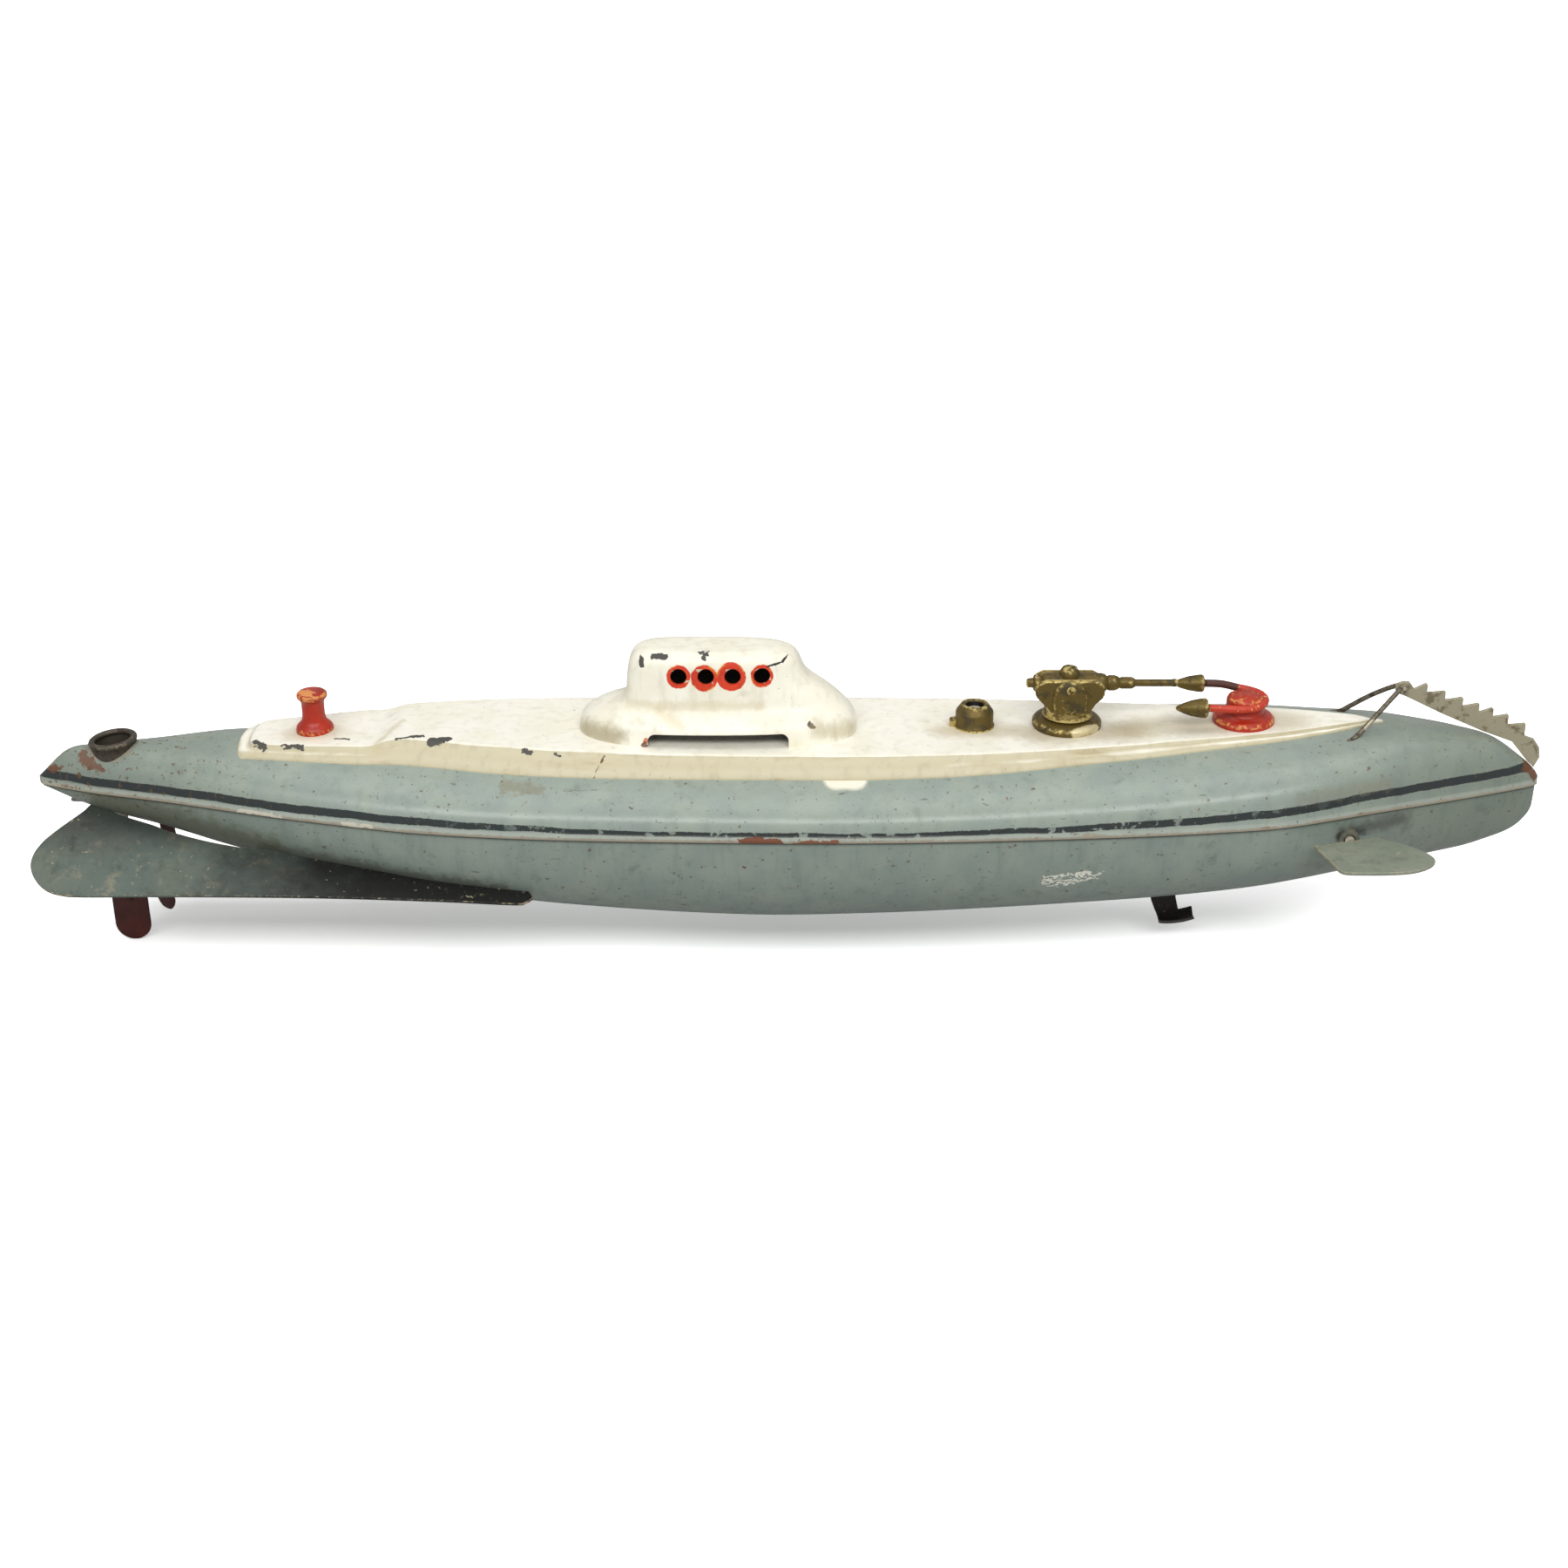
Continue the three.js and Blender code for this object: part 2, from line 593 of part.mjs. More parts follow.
function planeBush() {
  return turnedRing([[1.3, 13.5], [2.2, 13.5], [2.2, 18.4], [1.3, 18.4]], 14).rotate([90, 0, 0]);
}

// --- Clockwork ----------------------------------------------------------------------------------

/** Gear of module 1 mm with generous backlash, from z = 0 up, with a round bore. */
function gear(teeth, thickness, bore) {
  const root = teeth / 2 - 1.15;
  const tip = teeth / 2 + 0.75;
  const pitch = (2 * Math.PI) / teeth;
  const outline = [];
  for (let i = 0; i < teeth; i++) {
    const corners = [[root, -0.3], [tip, -0.12], [tip, 0.12], [root, 0.3]];
    corners.forEach(([r, share]) => {
      const angle = (i + share) * pitch;
      outline.push([r * Math.cos(angle), r * Math.sin(angle)]);
    });
  }
  return plate(outline, thickness).subtract(bar(bore, [0, 0, -1], [0, 0, thickness + 1]));
}

/** Wheel whose teeth stand down from its rim, z = 0 at its top face. */
function crownWheel() {
  const pitchRadius = CROWN_TEETH / 2;
  const ring = turnedRing([[1.3, -1], [pitchRadius + 1.2, -1], [pitchRadius + 1.2, 0], [1.3, 0]], 24);
  const tooth = block([pitchRadius - 1.2, -0.5, -2.6], [pitchRadius + 1.2, 0.5, -0.5]);
  let shape = ring;
  for (let i = 0; i < CROWN_TEETH; i++) {
    shape = shape.add(tooth.rotate([0, 0, ((i + 0.5) * 360) / CROWN_TEETH]));
  }
  return shape;
}

function ratchetWheel() {
  const teeth = 12;
  const outline = [];
  for (let i = 0; i < teeth; i++) {
    const angle = (2 * Math.PI * i) / teeth;
    outline.push([5 * Math.cos(angle), 5 * Math.sin(angle)]);
    outline.push([3.9 * Math.cos(angle + 0.06), 3.9 * Math.sin(angle + 0.06)]);
  }
  return plate(outline, 0.8).subtract(bar(1.8, [0, 0, -1], [0, 0, 2]));
}

/** Pawl that rides on the great wheel beside the ratchet. */
function clickPawl() {
  return plate([[5.4, -0.6], [6.2, -1.2], [11, 2.4], [11.6, 4], [10, 4.4], [5.6, 0.4]], 0.8);
}

/** Flat spiral spring about the arbor. */
function mainspring() {
  const turns = 4;
  const steps = 12 * turns;
  const inner = [];
  const outer = [];
  for (let i = 0; i <= steps; i++) {
    const angle = (2 * Math.PI * turns * i) / steps;
    const radius = 2.4 + (11.6 * i) / steps;
    inner.push([radius * Math.cos(angle), radius * Math.sin(angle)]);
    outer.push([(radius + 0.6) * Math.cos(angle), (radius + 0.6) * Math.sin(angle)]);
  }
  return plate([...inner, ...outer.reverse()], 7.5);
}

function motorPlate(low, holes) {
  const outline = [
    [PLATE_AFT, -PLATE_HALF], [PLATE_FORE - 4, -PLATE_HALF], [PLATE_FORE, -PLATE_HALF + 4],
    [PLATE_FORE, PLATE_HALF - 4], [PLATE_FORE - 4, PLATE_HALF], [PLATE_AFT, PLATE_HALF],
  ];
  let shape = plate(outline, 1).translate([0, 0, low]);
  holes.forEach(([x, y, radius]) => {
    shape = shape.subtract(bar(radius, [x, y, low - 1], [x, y, low + 2]));
  });
  return shape;
}

/** A cross member between the motor and the lower shell. */
function cradle(x) {
  const web = block([x - 0.6, -30, -40], [x + 0.6, 30, BASE_PLATE - GAP]);
  return web.intersect(lowerBody(SHEET + GAP, -157, 161)).subtract(shaftWay);
}

const shaftWay = onShaft(bar(2, [0, 0, 0], [175, 0, 0]));

function ballast() {
  const bulk = block([-72, -12, -40], [-34, 12, -19]);
  return bulk.intersect(lowerBody(SHEET + GAP, -157, 161));
}

/** Stop lever: a thumb tab under the hull, and an arm up to the great wheel's rim. */
function brakeLever() {
  const outline = [
    [-2, 2.4], [2, 2.4], [9.4, -6], [11.4, -12], [13.6, -15.4], [7.4, -15.4], [4.6, -11],
    [2.8, -6], [-3, -2], [-20, 17.2], [-19, 18.2], [-17, 17.8],
  ];
  const tab = block([7.4, -3.4, -16.2], [13.6, 0.4, -15.3]).add(
    bar(0.7, [7.4, -3.4, -16], [13.6, -3.4, -16]),
  );
  return upright(outline, SHEET)
    .add(tab)
    .subtract(bar(1.3, [0, -3, 0], [0, 3, 0]));
}

/** Hanger and pin of the stop lever, soldered to the keel. */
function brakePivot() {
  const hanger = block([-2.5, 0.9, -3.5], [2.5, 1.7, 2.5]);
  return hanger.add(bar(1, [0, -1.6, 0], [0, 1.4, 0]));
}

// --- Assembly -----------------------------------------------------------------------------------

const submarine = new THREE.Group();
const hull = new THREE.Group();
hull.position.z = STANCE;
submarine.add(hull);

/** Adds one named piece to a group, at a place in it. */
function add(group, name, shape, look, place = [0, 0, 0]) {
  const mesh = new THREE.Mesh(geometryOf(shape), new THREE.MeshStandardMaterial(look));
  mesh.name = name;
  mesh.position.set(...place);
  group.add(mesh);
  return mesh;
}

/** Adds a group of its own at a place in the hull. */
function subgroup(x, y, z) {
  const group = new THREE.Group();
  group.position.set(x, y, z);
  hull.add(group);
  return group;
}

function addShells() {
  add(hull, "lower_hull_shell", lowerShell(), HULL_GREY);
  add(hull, "upper_hull_shell", upperShell(), HULL_PALE);
  add(hull, "deck_superstructure", deckTray(), DECK_CREAM);
  add(hull, "conning_tower", tower(), DECK_CREAM);
  add(hull, "ballast_weight", ballast(), LEAD);
}

function addDeckFittings() {
  add(hull, "bollard", bollard(), SIGNAL_RED, [BOLLARD_X, 0, 0]);
  add(hull, "winding_bush", windingBush(), OLD_GOLD, [BUSH_X, 0, 0]);
  const anchor = subgroup(ANCHOR_X, 0, 0);
  add(anchor, "anchor_base", anchorBase(), SIGNAL_RED);
  add(anchor, "anchor_yoke", anchorYoke(), SIGNAL_RED);
  add(anchor, "anchor_fluke_starboard", fluke(2.25), OLD_GOLD, [-8.9, -4.5, 19.6]);
  add(anchor, "anchor_fluke_port", fluke(1.95), OLD_GOLD, [-8.3, 4.5, 21.6]);
  add(hull, "net_cutter", netCutter(), BARE_STEEL);
  add(hull, "cutter_stay_starboard", cutterStay(), BARE_STEEL);
  add(hull, "cutter_stay_port", otherSide(cutterStay()), BARE_STEEL);
  add(hull, "cutter_pin", bar(0.5, [0, -1.1, 0], [0, 1.1, 0], 10), BARE_STEEL, [EYE.x, 0, EYE.z]);
}

function addGun() {
  const gun = subgroup(GUN_X, 0, 0);
  add(gun, "gun_base", gunBase(), OLD_GOLD);
  const rivet = turned([[0, 9.6], [2.4, 9.6], [2.4, 10.4], [1.2, 10.4], [1.2, 18.6], [0, 18.6]], 14);
  add(gun, "gun_rivet", rivet, BRASS);
  add(gun, "gun_mount", gunMount(), OLD_GOLD);
  const cradleGroup = subgroup(GUN_X, 0, GUN_AXIS);
  add(cradleGroup, "gun_barrel", gunBarrel(), OLD_GOLD);
  add(cradleGroup, "gun_trunnion_pin", bar(0.9, [0, -5, 0], [0, 5, 0]), BRASS);
}

function addSternGear() {
  const ring = add(hull, "stern_ring", sternRing(), DARK_RUBBED, [RING_X, 0, 8]);
  ring.rotation.y = RING_TILT;
  const rudder = subgroup(RUDDER_X, 0, 0);
  add(rudder, "rudder_trunk", rudderTrunk(), BARE_STEEL);
  add(rudder, "rudder_stock", bar(SHAFT_RADIUS, [0, 0, -29.6], [0, 0, 6.5]), DEEP_RED);
  add(rudder, "rudder_blade", rudderBlade(), DEEP_RED);
  add(hull, "tail_fin_starboard", tailFin(), HULL_GREY);
  add(hull, "tail_fin_port", otherSide(tailFin()), HULL_GREY);
  add(hull, "stern_strut", sternStrut(), DEEP_RED);
}

function addPlanes() {
  const planes = subgroup(PLANE_X, 0, PLANE_Z);
  add(planes, "bow_plane_starboard", bowPlane(), HULL_GREY);
  add(planes, "bow_plane_port", otherSide(bowPlane()), HULL_GREY);
  add(planes, "bow_plane_shaft", bar(SHAFT_RADIUS, [0, -25, 0], [0, 25, 0]), BARE_STEEL);
  add(planes, "bow_plane_bush_starboard", planeBush(), BRASS);
  add(planes, "bow_plane_bush_port", otherSide(planeBush()), BRASS);
}

function addShaftLine() {
  const line = subgroup(PROPELLER.x, 0, PROPELLER.z);
  line.rotation.y = -SHAFT_RISE;
  const mesh = (SECOND_X - CROWN_TEETH / 2 - PROPELLER.x) / Math.cos(SHAFT_RISE);
  add(line, "propeller", propellerShape(), DEEP_RED);
  add(line, "propeller_shaft", bar(SHAFT_RADIUS, [-0.6, 0, 0], [mesh + 8, 0, 0]), BARE_STEEL);
  add(line, "stern_tube", sternTube(), BRASS);
  const pinion = gear(PINION_TEETH, 2.2, SHAFT_RADIUS + GAP).rotate([0, 90, 0]);
  add(line, "shaft_pinion", pinion, BRASS, [mesh - 1.1, 0, 0]);
  const lug = block([0, -3, -3], [1.5, 3, 3]).subtract(bar(SHAFT_RADIUS + GAP, [-1, 0, 0], [3, 0, 0]));
  const post = onShaft(lug.translate([mesh + 5, 0, 0])).add(
    block([14, -2, BASE_PLATE + 1 + GAP], [15.5, 2, -10]),
  );
  add(hull, "shaft_bearing", post.subtract(onShaft(bar(1.3, [140, 0, 0], [170, 0, 0]))), BRASS);
}

function addMotor() {
  const corners = [[-4, 11], [-4, -11], [58, -11], [58, 11]];
  const arbors = [[BUSH_X, 0, 1.8], [SECOND_X, 0, 1.3]];
  const screwHoles = corners.map(([x, y]) => [x, y, 0.9]);
  add(hull, "motor_top_plate", motorPlate(TOP_PLATE, [...arbors, ...screwHoles]), BRASS);
  add(hull, "motor_base_plate", motorPlate(BASE_PLATE, arbors), BRASS);
  corners.forEach(([x, y], i) => {
    const pillar = bar(1.6, [x, y, BASE_PLATE + 1 + GAP], [x, y, TOP_PLATE - GAP]);
    const tapped = pillar.subtract(bar(0.9, [x, y, TOP_PLATE - 4], [x, y, TOP_PLATE]));
    add(hull, `motor_pillar_${i + 1}`, tapped, BARE_STEEL);
    const screw = turned([[0, -3], [0.6, -3], [0.6, 1.3], [1.7, 1.3], [1.5, 2.3], [0, 2.4]], 12);
    add(hull, `motor_screw_${i + 1}`, screw, BARE_STEEL, [x, y, TOP_PLATE]);
  });
  add(hull, "motor_cradle_aft", cradle(-2), BARE_STEEL);
  add(hull, "motor_cradle_fore", cradle(52), BARE_STEEL);
}

function addTrain() {
  const arbor = bar(1.5, [0, 0, BASE_PLATE - 0.5], [0, 0, 17.6]);
  add(hull, "winding_arbor", arbor, BARE_STEEL, [BUSH_X, 0, 0]);
  add(hull, "ratchet_wheel", ratchetWheel(), BRASS, [BUSH_X, 0, GREAT_Z + 1.8]);
  add(hull, "mainspring", mainspring(), BLACKED_STEEL, [BUSH_X, 0, -14.8]);
  add(hull, "great_wheel", gear(GREAT_TEETH, 1.5, 1.8), BRASS, [BUSH_X, 0, GREAT_Z]);
  add(hull, "click_pawl", clickPawl(), BARE_STEEL, [BUSH_X, 0, GREAT_Z + 1.8]);
  const second = subgroup(SECOND_X, 0, 0);
  add(second, "second_arbor", bar(1, [0, 0, BASE_PLATE - 0.5], [0, 0, TOP_PLATE + 1.5]), BARE_STEEL);
  const pinion = gear(PINION_TEETH, 2.4, 1.3).rotate([0, 0, 180 / PINION_TEETH]);
  add(second, "second_pinion", pinion, BRASS, [0, 0, GREAT_Z - 0.4]);
  add(second, "crown_wheel", crownWheel(), BRASS, [0, 0, -2.6]);
}

function addBrake() {
  const brake = subgroup(BRAKE_PIVOT.x, 0, BRAKE_PIVOT.z);
  add(brake, "brake_lever", brakeLever(), BLACKED_STEEL);
  add(brake, "brake_pivot", brakePivot(), BARE_STEEL);
}

addShells();
addDeckFittings();
addGun();
addSternGear();
addPlanes();
addShaftLine();
addMotor();
addTrain();
addBrake();

export default submarine;
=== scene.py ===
"""Looks of a clockwork toy submarine: painted sheet-metal shells, deck fittings and stern gear.

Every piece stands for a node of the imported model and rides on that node's body. Shapes are worked out
in millimetres in the hull's own frame, with +X to the bow and z = 0 at the seam, and are put in metres
in the model's frame as each mesh is made.
"""

import logging
import math
from collections.abc import Callable, Iterable, Sequence
from dataclasses import dataclass, field
from enum import Enum

import bmesh
import bpy
from mathutils import Matrix, Vector


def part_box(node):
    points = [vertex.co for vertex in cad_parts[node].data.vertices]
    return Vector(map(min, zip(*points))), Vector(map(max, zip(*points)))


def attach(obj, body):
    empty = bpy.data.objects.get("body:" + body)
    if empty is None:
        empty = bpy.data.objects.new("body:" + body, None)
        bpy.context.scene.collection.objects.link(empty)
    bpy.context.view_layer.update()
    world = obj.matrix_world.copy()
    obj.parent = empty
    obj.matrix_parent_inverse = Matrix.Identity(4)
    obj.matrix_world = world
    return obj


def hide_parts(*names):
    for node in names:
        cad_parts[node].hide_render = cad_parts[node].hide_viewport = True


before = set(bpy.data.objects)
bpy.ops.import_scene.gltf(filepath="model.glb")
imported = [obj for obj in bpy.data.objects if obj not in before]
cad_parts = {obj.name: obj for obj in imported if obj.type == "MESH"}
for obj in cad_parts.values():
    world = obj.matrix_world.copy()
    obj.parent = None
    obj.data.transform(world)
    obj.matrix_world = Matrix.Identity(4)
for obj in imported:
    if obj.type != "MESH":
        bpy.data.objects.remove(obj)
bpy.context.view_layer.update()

LOG = logging.getLogger("submarine")
MM = 0.001
SEAM_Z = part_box("upper_hull_shell")[0].z
SHEET = 0.8
MERGE = 1e-5

Pair = tuple[float, float]
Triple = tuple[float, float, float]
Colour = tuple[float, float, float]


# --- Lines of the hull -------------------------------------------------------------------------


class FairLine:
    """A smooth line through (place, value) points."""

    def __init__(self, *points: Pair) -> None:
        """Keeps the points and works out the slope at each.

        Args:
            points: Places in rising order with the value at each.
        """
        self.points = points
        self.slopes = []
        for i in range(len(points)):
            (x0, y0), (x1, y1) = points[max(i - 1, 0)], points[min(i + 1, len(points) - 1)]
            self.slopes.append((y1 - y0) / (x1 - x0))

    def __call__(self, place: float) -> float:
        """Returns the value at a place, and the end value beyond either end."""
        i = 0
        while i < len(self.points) - 2 and place > self.points[i + 1][0]:
            i += 1
        (x0, y0), (x1, y1) = self.points[i], self.points[i + 1]
        span = x1 - x0
        t = min(max((place - x0) / span, 0.0), 1.0)
        late = t * t * (3 - 2 * t)
        leaving = t * (1 - t) ** 2 * span * self.slopes[i]
        arriving = t * t * (t - 1) * span * self.slopes[i + 1]
        return y0 * (1 - late) + y1 * late + leaving + arriving


@dataclass(frozen=True)
class HullLines:
    """The hull's form: half beam at the seam, keel depth, crown and shoulder heights."""

    length: float = 330.0
    lap: float = 1.0
    lip: float = 0.4
    lower_fullness: float = 2.3
    beam: FairLine = FairLine(
        (-165, 0), (-164.2, 1.2), (-162.5, 2), (-160, 3), (-151, 6.1), (-135, 10.3), (-111, 17.5),
        (-92, 22.4), (-77, 25.6), (-51, 28.4), (-6, 30), (17, 30), (40, 29.2), (71, 27.2), (90, 25.2),
        (105, 22.8), (128, 15), (149, 7.8), (160, 3.7), (163.4, 2.2), (164.6, 1.2), (165, 0),
    )
    keel: FairLine = FairLine(
        (-165, 0.6), (-153, 5.5), (-138, 9.3), (-119, 14.5), (-88, 19.4), (-73, 22.2), (-49, 25.3),
        (-10, 27.9), (18, 27.5), (41, 26.5), (64, 25.2), (87, 23.7), (102, 22.2), (118, 20.2),
        (148, 15.6), (156, 13.3), (161, 11), (164, 7.6), (165, 4.5),
    )
    crown: FairLine = FairLine(
        (-165, 1.5), (-158, 7.8), (-152, 8.9), (-138, 9.9), (-126, 10.9), (-117, 10.9), (-93, 11.6),
        (-49, 11.7), (-6, 11.4), (17, 11.3), (41, 11.9), (62, 12.5), (93, 13.2), (107, 13.7),
        (118, 14.1), (127, 14.5), (131, 14.4), (139, 13.6), (146, 12.6), (154, 10.6), (161, 5.8),
        (164, 3), (165, 1.5),
    )
    shoulder: FairLine = FairLine(
        (-165, 0.5), (-150, 1.5), (-120, 2.2), (40, 3), (90, 4.2), (125, 5.2), (145, 4.8), (158, 2.8), (165, 0.6),
    )
    fullness: FairLine = FairLine((-165, 2), (60, 2.05), (110, 2.4), (140, 2.5), (165, 2.2))

    def stations(self, count: int, start: float = -165.0, end: float = 165.0) -> list[float]:
        """Returns places along the hull that lie closer together near both ends."""
        middle, half = (start + end) / 2, (end - start) / 2
        return [middle - half * math.cos(math.pi * i / count) for i in range(count + 1)]

    def upper_half(self, x: float, steps: int = 14) -> list[Pair]:
        """Returns half a section of the upper shell from the seam up to the crown.

        Args:
            x: Place along the hull.
            steps: Points on the arc over the shoulder.

        Returns:
            Points (distance from the centreline, height).
        """
        beam, crown = self.beam(x), self.crown(x)
        lip = min(self.lip, 0.25 * beam)
        shoulder = min(self.shoulder(x), 0.5 * crown)
        band = min(0.5, shoulder * 0.3)
        points = [(beam, 0.0), (beam, band), (beam - 0.6 * lip, 1.7 * band)]
        wall = beam - 1.2 * lip
        points += [(beam - lip, 0.4 * shoulder + band), (beam - 1.1 * lip, 0.8 * shoulder)]
        for i in range(steps + 1):
            y, z = arc_point(0.5 * math.pi * i / steps, wall, crown - shoulder, self.fullness(x))
            points.append((y, shoulder + z))
        return points

    def lower_half(self, x: float, steps: int = 16) -> list[Pair]:
        """Returns half a section of the lower shell from inside the seam down to the keel."""
        beam = max(self.beam(x) - self.lap, 0.0)
        rim = min(1.2, 0.4 * self.crown(x))
        points = [(beam, rim), (beam, 0.4 * rim)]
        for i in range(steps + 1):
            y, z = arc_point(0.5 * math.pi * i / steps, beam, self.keel(x), self.lower_fullness)
            points.append((y, -z))
        return points

    def top_height(self, x: float, y: float) -> float:
        """Returns the upper shell's height over a point of the plan."""
        beam, crown = self.beam(x), self.crown(x)
        shoulder = min(self.shoulder(x), 0.5 * crown)
        share = min(abs(y) / max(beam - 1.2 * self.lip, 0.1), 1.0)
        n = self.fullness(x)
        return shoulder + (crown - shoulder) * (1 - share**n) ** (1 / n)

    def inside_lower(self, x: float, y: float, z: float) -> bool:
        """Returns whether a point lies inside the lower shell."""
        beam, depth = max(self.beam(x) - self.lap, 0.05), self.keel(x)
        n = self.lower_fullness
        return (abs(y) / beam) ** n + (abs(z) / depth) ** n < 1 and z < 0


def arc_point(angle: float, width: float, height: float, fullness: float) -> Pair:
    """Returns a point of a superellipse arc, from the side at 0 to the top at half pi."""
    c, s = max(math.cos(angle), 0.0), math.sin(angle)
    return width * c ** (2 / fullness), height * s ** (2 / fullness)


LINES = HullLines()


# --- Mesh making -------------------------------------------------------------------------------


def placed(point: Sequence[float]) -> Vector:
    """Returns a hull-frame point in millimetres as metres in the model's frame."""
    return Vector((point[0] * MM, point[1] * MM, point[2] * MM + SEAM_Z))


def mesh_piece(name: str, points: Iterable[Sequence[float]], faces: list, weld: float = MERGE) -> bpy.types.Object:
    """Makes a smooth-shaded mesh object from hull-frame points.

    Args:
        name: Name of the piece.
        points: Corners in millimetres.
        faces: Lists of corner numbers.
        weld: Distance in metres under which corners are merged, or 0 to leave them.

    Returns:
        The new object, at the origin with its place in its mesh.
    """
    mesh = bpy.data.meshes.new(name)
    mesh.from_pydata([placed(p) for p in points], [], faces)
    piece = bpy.data.objects.new(name, mesh)
    bpy.context.scene.collection.objects.link(piece)
    if weld:
        tidy_mesh(piece, weld)
    mesh.polygons.foreach_set("use_smooth", [True] * len(mesh.polygons))
    return piece


def tidy_mesh(piece: bpy.types.Object, weld: float = MERGE, recalculate: bool = False) -> None:
    """Merges doubled corners, and turns faces outwards if asked."""
    work = bmesh.new()
    work.from_mesh(piece.data)
    bmesh.ops.remove_doubles(work, verts=work.verts, dist=weld)
    bmesh.ops.dissolve_degenerate(work, dist=weld * 0.1, edges=work.edges)
    if recalculate:
        bmesh.ops.recalc_face_normals(work, faces=work.faces)
    work.to_mesh(piece.data)
    work.free()


def loft(name: str, rings: list[list[Triple]], closed: bool, caps: bool = False) -> bpy.types.Object:
    """Makes a skin through rings of equally many points.

    Args:
        name: Name of the piece.
        rings: Rings of hull-frame points.
        closed: Whether each ring joins its end to its start.
        caps: Whether the first and last rings are closed with a face.

    Returns:
        The new piece.
    """
    n = len(rings[0])
    faces = []
    for r in range(len(rings) - 1):
        for i in range(n if closed else n - 1):
            a, b = r * n + i, r * n + (i + 1) % n
            faces.append([a, b, b + n, a + n])
    if caps:
        faces.append(list(reversed(range(n))))
        faces.append([(len(rings) - 1) * n + i for i in range(n)])
    return mesh_piece(name, [p for ring in rings for p in ring], faces)


def modifier(piece: bpy.types.Object, kind: str, **settings: object) -> bpy.types.Modifier:
    """Adds a modifier with settings, and returns it."""
    made = piece.modifiers.new(kind.title(), kind)
    for key, value in settings.items():
        setattr(made, key, value)
    return made


def shade(piece: bpy.types.Object, angle: float) -> None:
    """Shades a mesh smooth but for the edges sharper than an angle in degrees."""
    piece.data.polygons.foreach_set("use_smooth", [True] * len(piece.data.polygons))
    piece.data.set_sharp_from_angle(angle=math.radians(angle))


def solidify(piece: bpy.types.Object, thickness: float, offset: float = -1.0, inner_slot: int = 0) -> None:
    """Gives a skin its wall, inwards unless offset says otherwise."""
    modifier(
        piece, "SOLIDIFY", thickness=thickness * MM, offset=offset, material_offset=inner_slot,
        material_offset_rim=0, use_even_offset=False,
    )


def bevel(piece: bpy.types.Object, width: float, segments: int = 2, angle: float = 35) -> None:
    """Rounds the edges sharper than an angle in degrees."""
    modifier(
        piece, "BEVEL", width=width * MM, segments=segments, limit_method="ANGLE",
        angle_limit=math.radians(angle), use_clamp_overlap=True, harden_normals=False,
    )


def subdivide(piece: bpy.types.Object, levels: int) -> None:
    """Adds a live subdivision surface."""
    modifier(piece, "SUBSURF", levels=levels, render_levels=levels)


def apply_stack(piece: bpy.types.Object) -> bpy.types.Object:
    """Replaces a piece's mesh with what its modifiers make of it."""
    graph = bpy.context.evaluated_depsgraph_get()
    graph.update()
    made = bpy.data.meshes.new_from_object(piece.evaluated_get(graph))
    old = piece.data
    piece.modifiers.clear()
    piece.data = made
    bpy.data.meshes.remove(old)
    return piece


def cut(piece: bpy.types.Object, *cutters: bpy.types.Object) -> None:
    """Cuts helper shapes out of a piece and removes them."""
    for cutter in cutters:
        modifier(piece, "BOOLEAN", operation="DIFFERENCE", solver="EXACT", object=cutter)
    apply_stack(piece)
    for cutter in cutters:
        bpy.data.objects.remove(cutter)


def joined(name: str, *pieces: bpy.types.Object) -> bpy.types.Object:
    """Joins finished meshes into one piece with one name."""
    work = bmesh.new()
    for piece in pieces:
        if piece.modifiers:
            apply_stack(piece)
        work.from_mesh(piece.data)
    mesh = bpy.data.meshes.new(name)
    work.to_mesh(mesh)
    work.free()
    for piece in pieces:
        bpy.data.objects.remove(piece)
    made = bpy.data.objects.new(name, mesh)
    bpy.context.scene.collection.objects.link(made)
    return made


def turned(
    name: str, profile: list[Pair], place: Triple = (0, 0, 0), turn: Matrix | None = None, steps: int = 40,
    closed: bool = False,
) -> bpy.types.Object:
    """Makes a turned shape with the Screw modifier, then puts it in its place.

    Args:
        name: Name of the piece.
        profile: Points (radius, height) from top to bottom, in millimetres.
        place: Where the shape's origin goes in the hull's frame.
        turn: Rotation from +Z to the shape's own axis.
        steps: Sides of the turned shape.
        closed: Whether the profile closes on itself, as a ring's does.

    Returns:
        The finished piece.
    """
    points = [Vector((r * MM, 0, z * MM)) for r, z in profile]
    edges = [(i, i + 1) for i in range(len(points) - 1)]
    if closed:
        edges.append((len(points) - 1, 0))
    mesh = bpy.data.meshes.new(name)
    mesh.from_pydata(points, edges, [])
    piece = bpy.data.objects.new(name, mesh)
    bpy.context.scene.collection.objects.link(piece)
    modifier(
        piece, "SCREW", axis="Z", steps=steps, render_steps=steps, use_merge_vertices=True,
        merge_threshold=MERGE, use_smooth_shade=True,
    )
    apply_stack(piece)
    tidy_mesh(piece, recalculate=True)
    matrix = Matrix.Translation(placed(place)) @ (turn or Matrix.Identity(4))
    piece.data.transform(matrix)
    shade(piece, 50)
    return piece


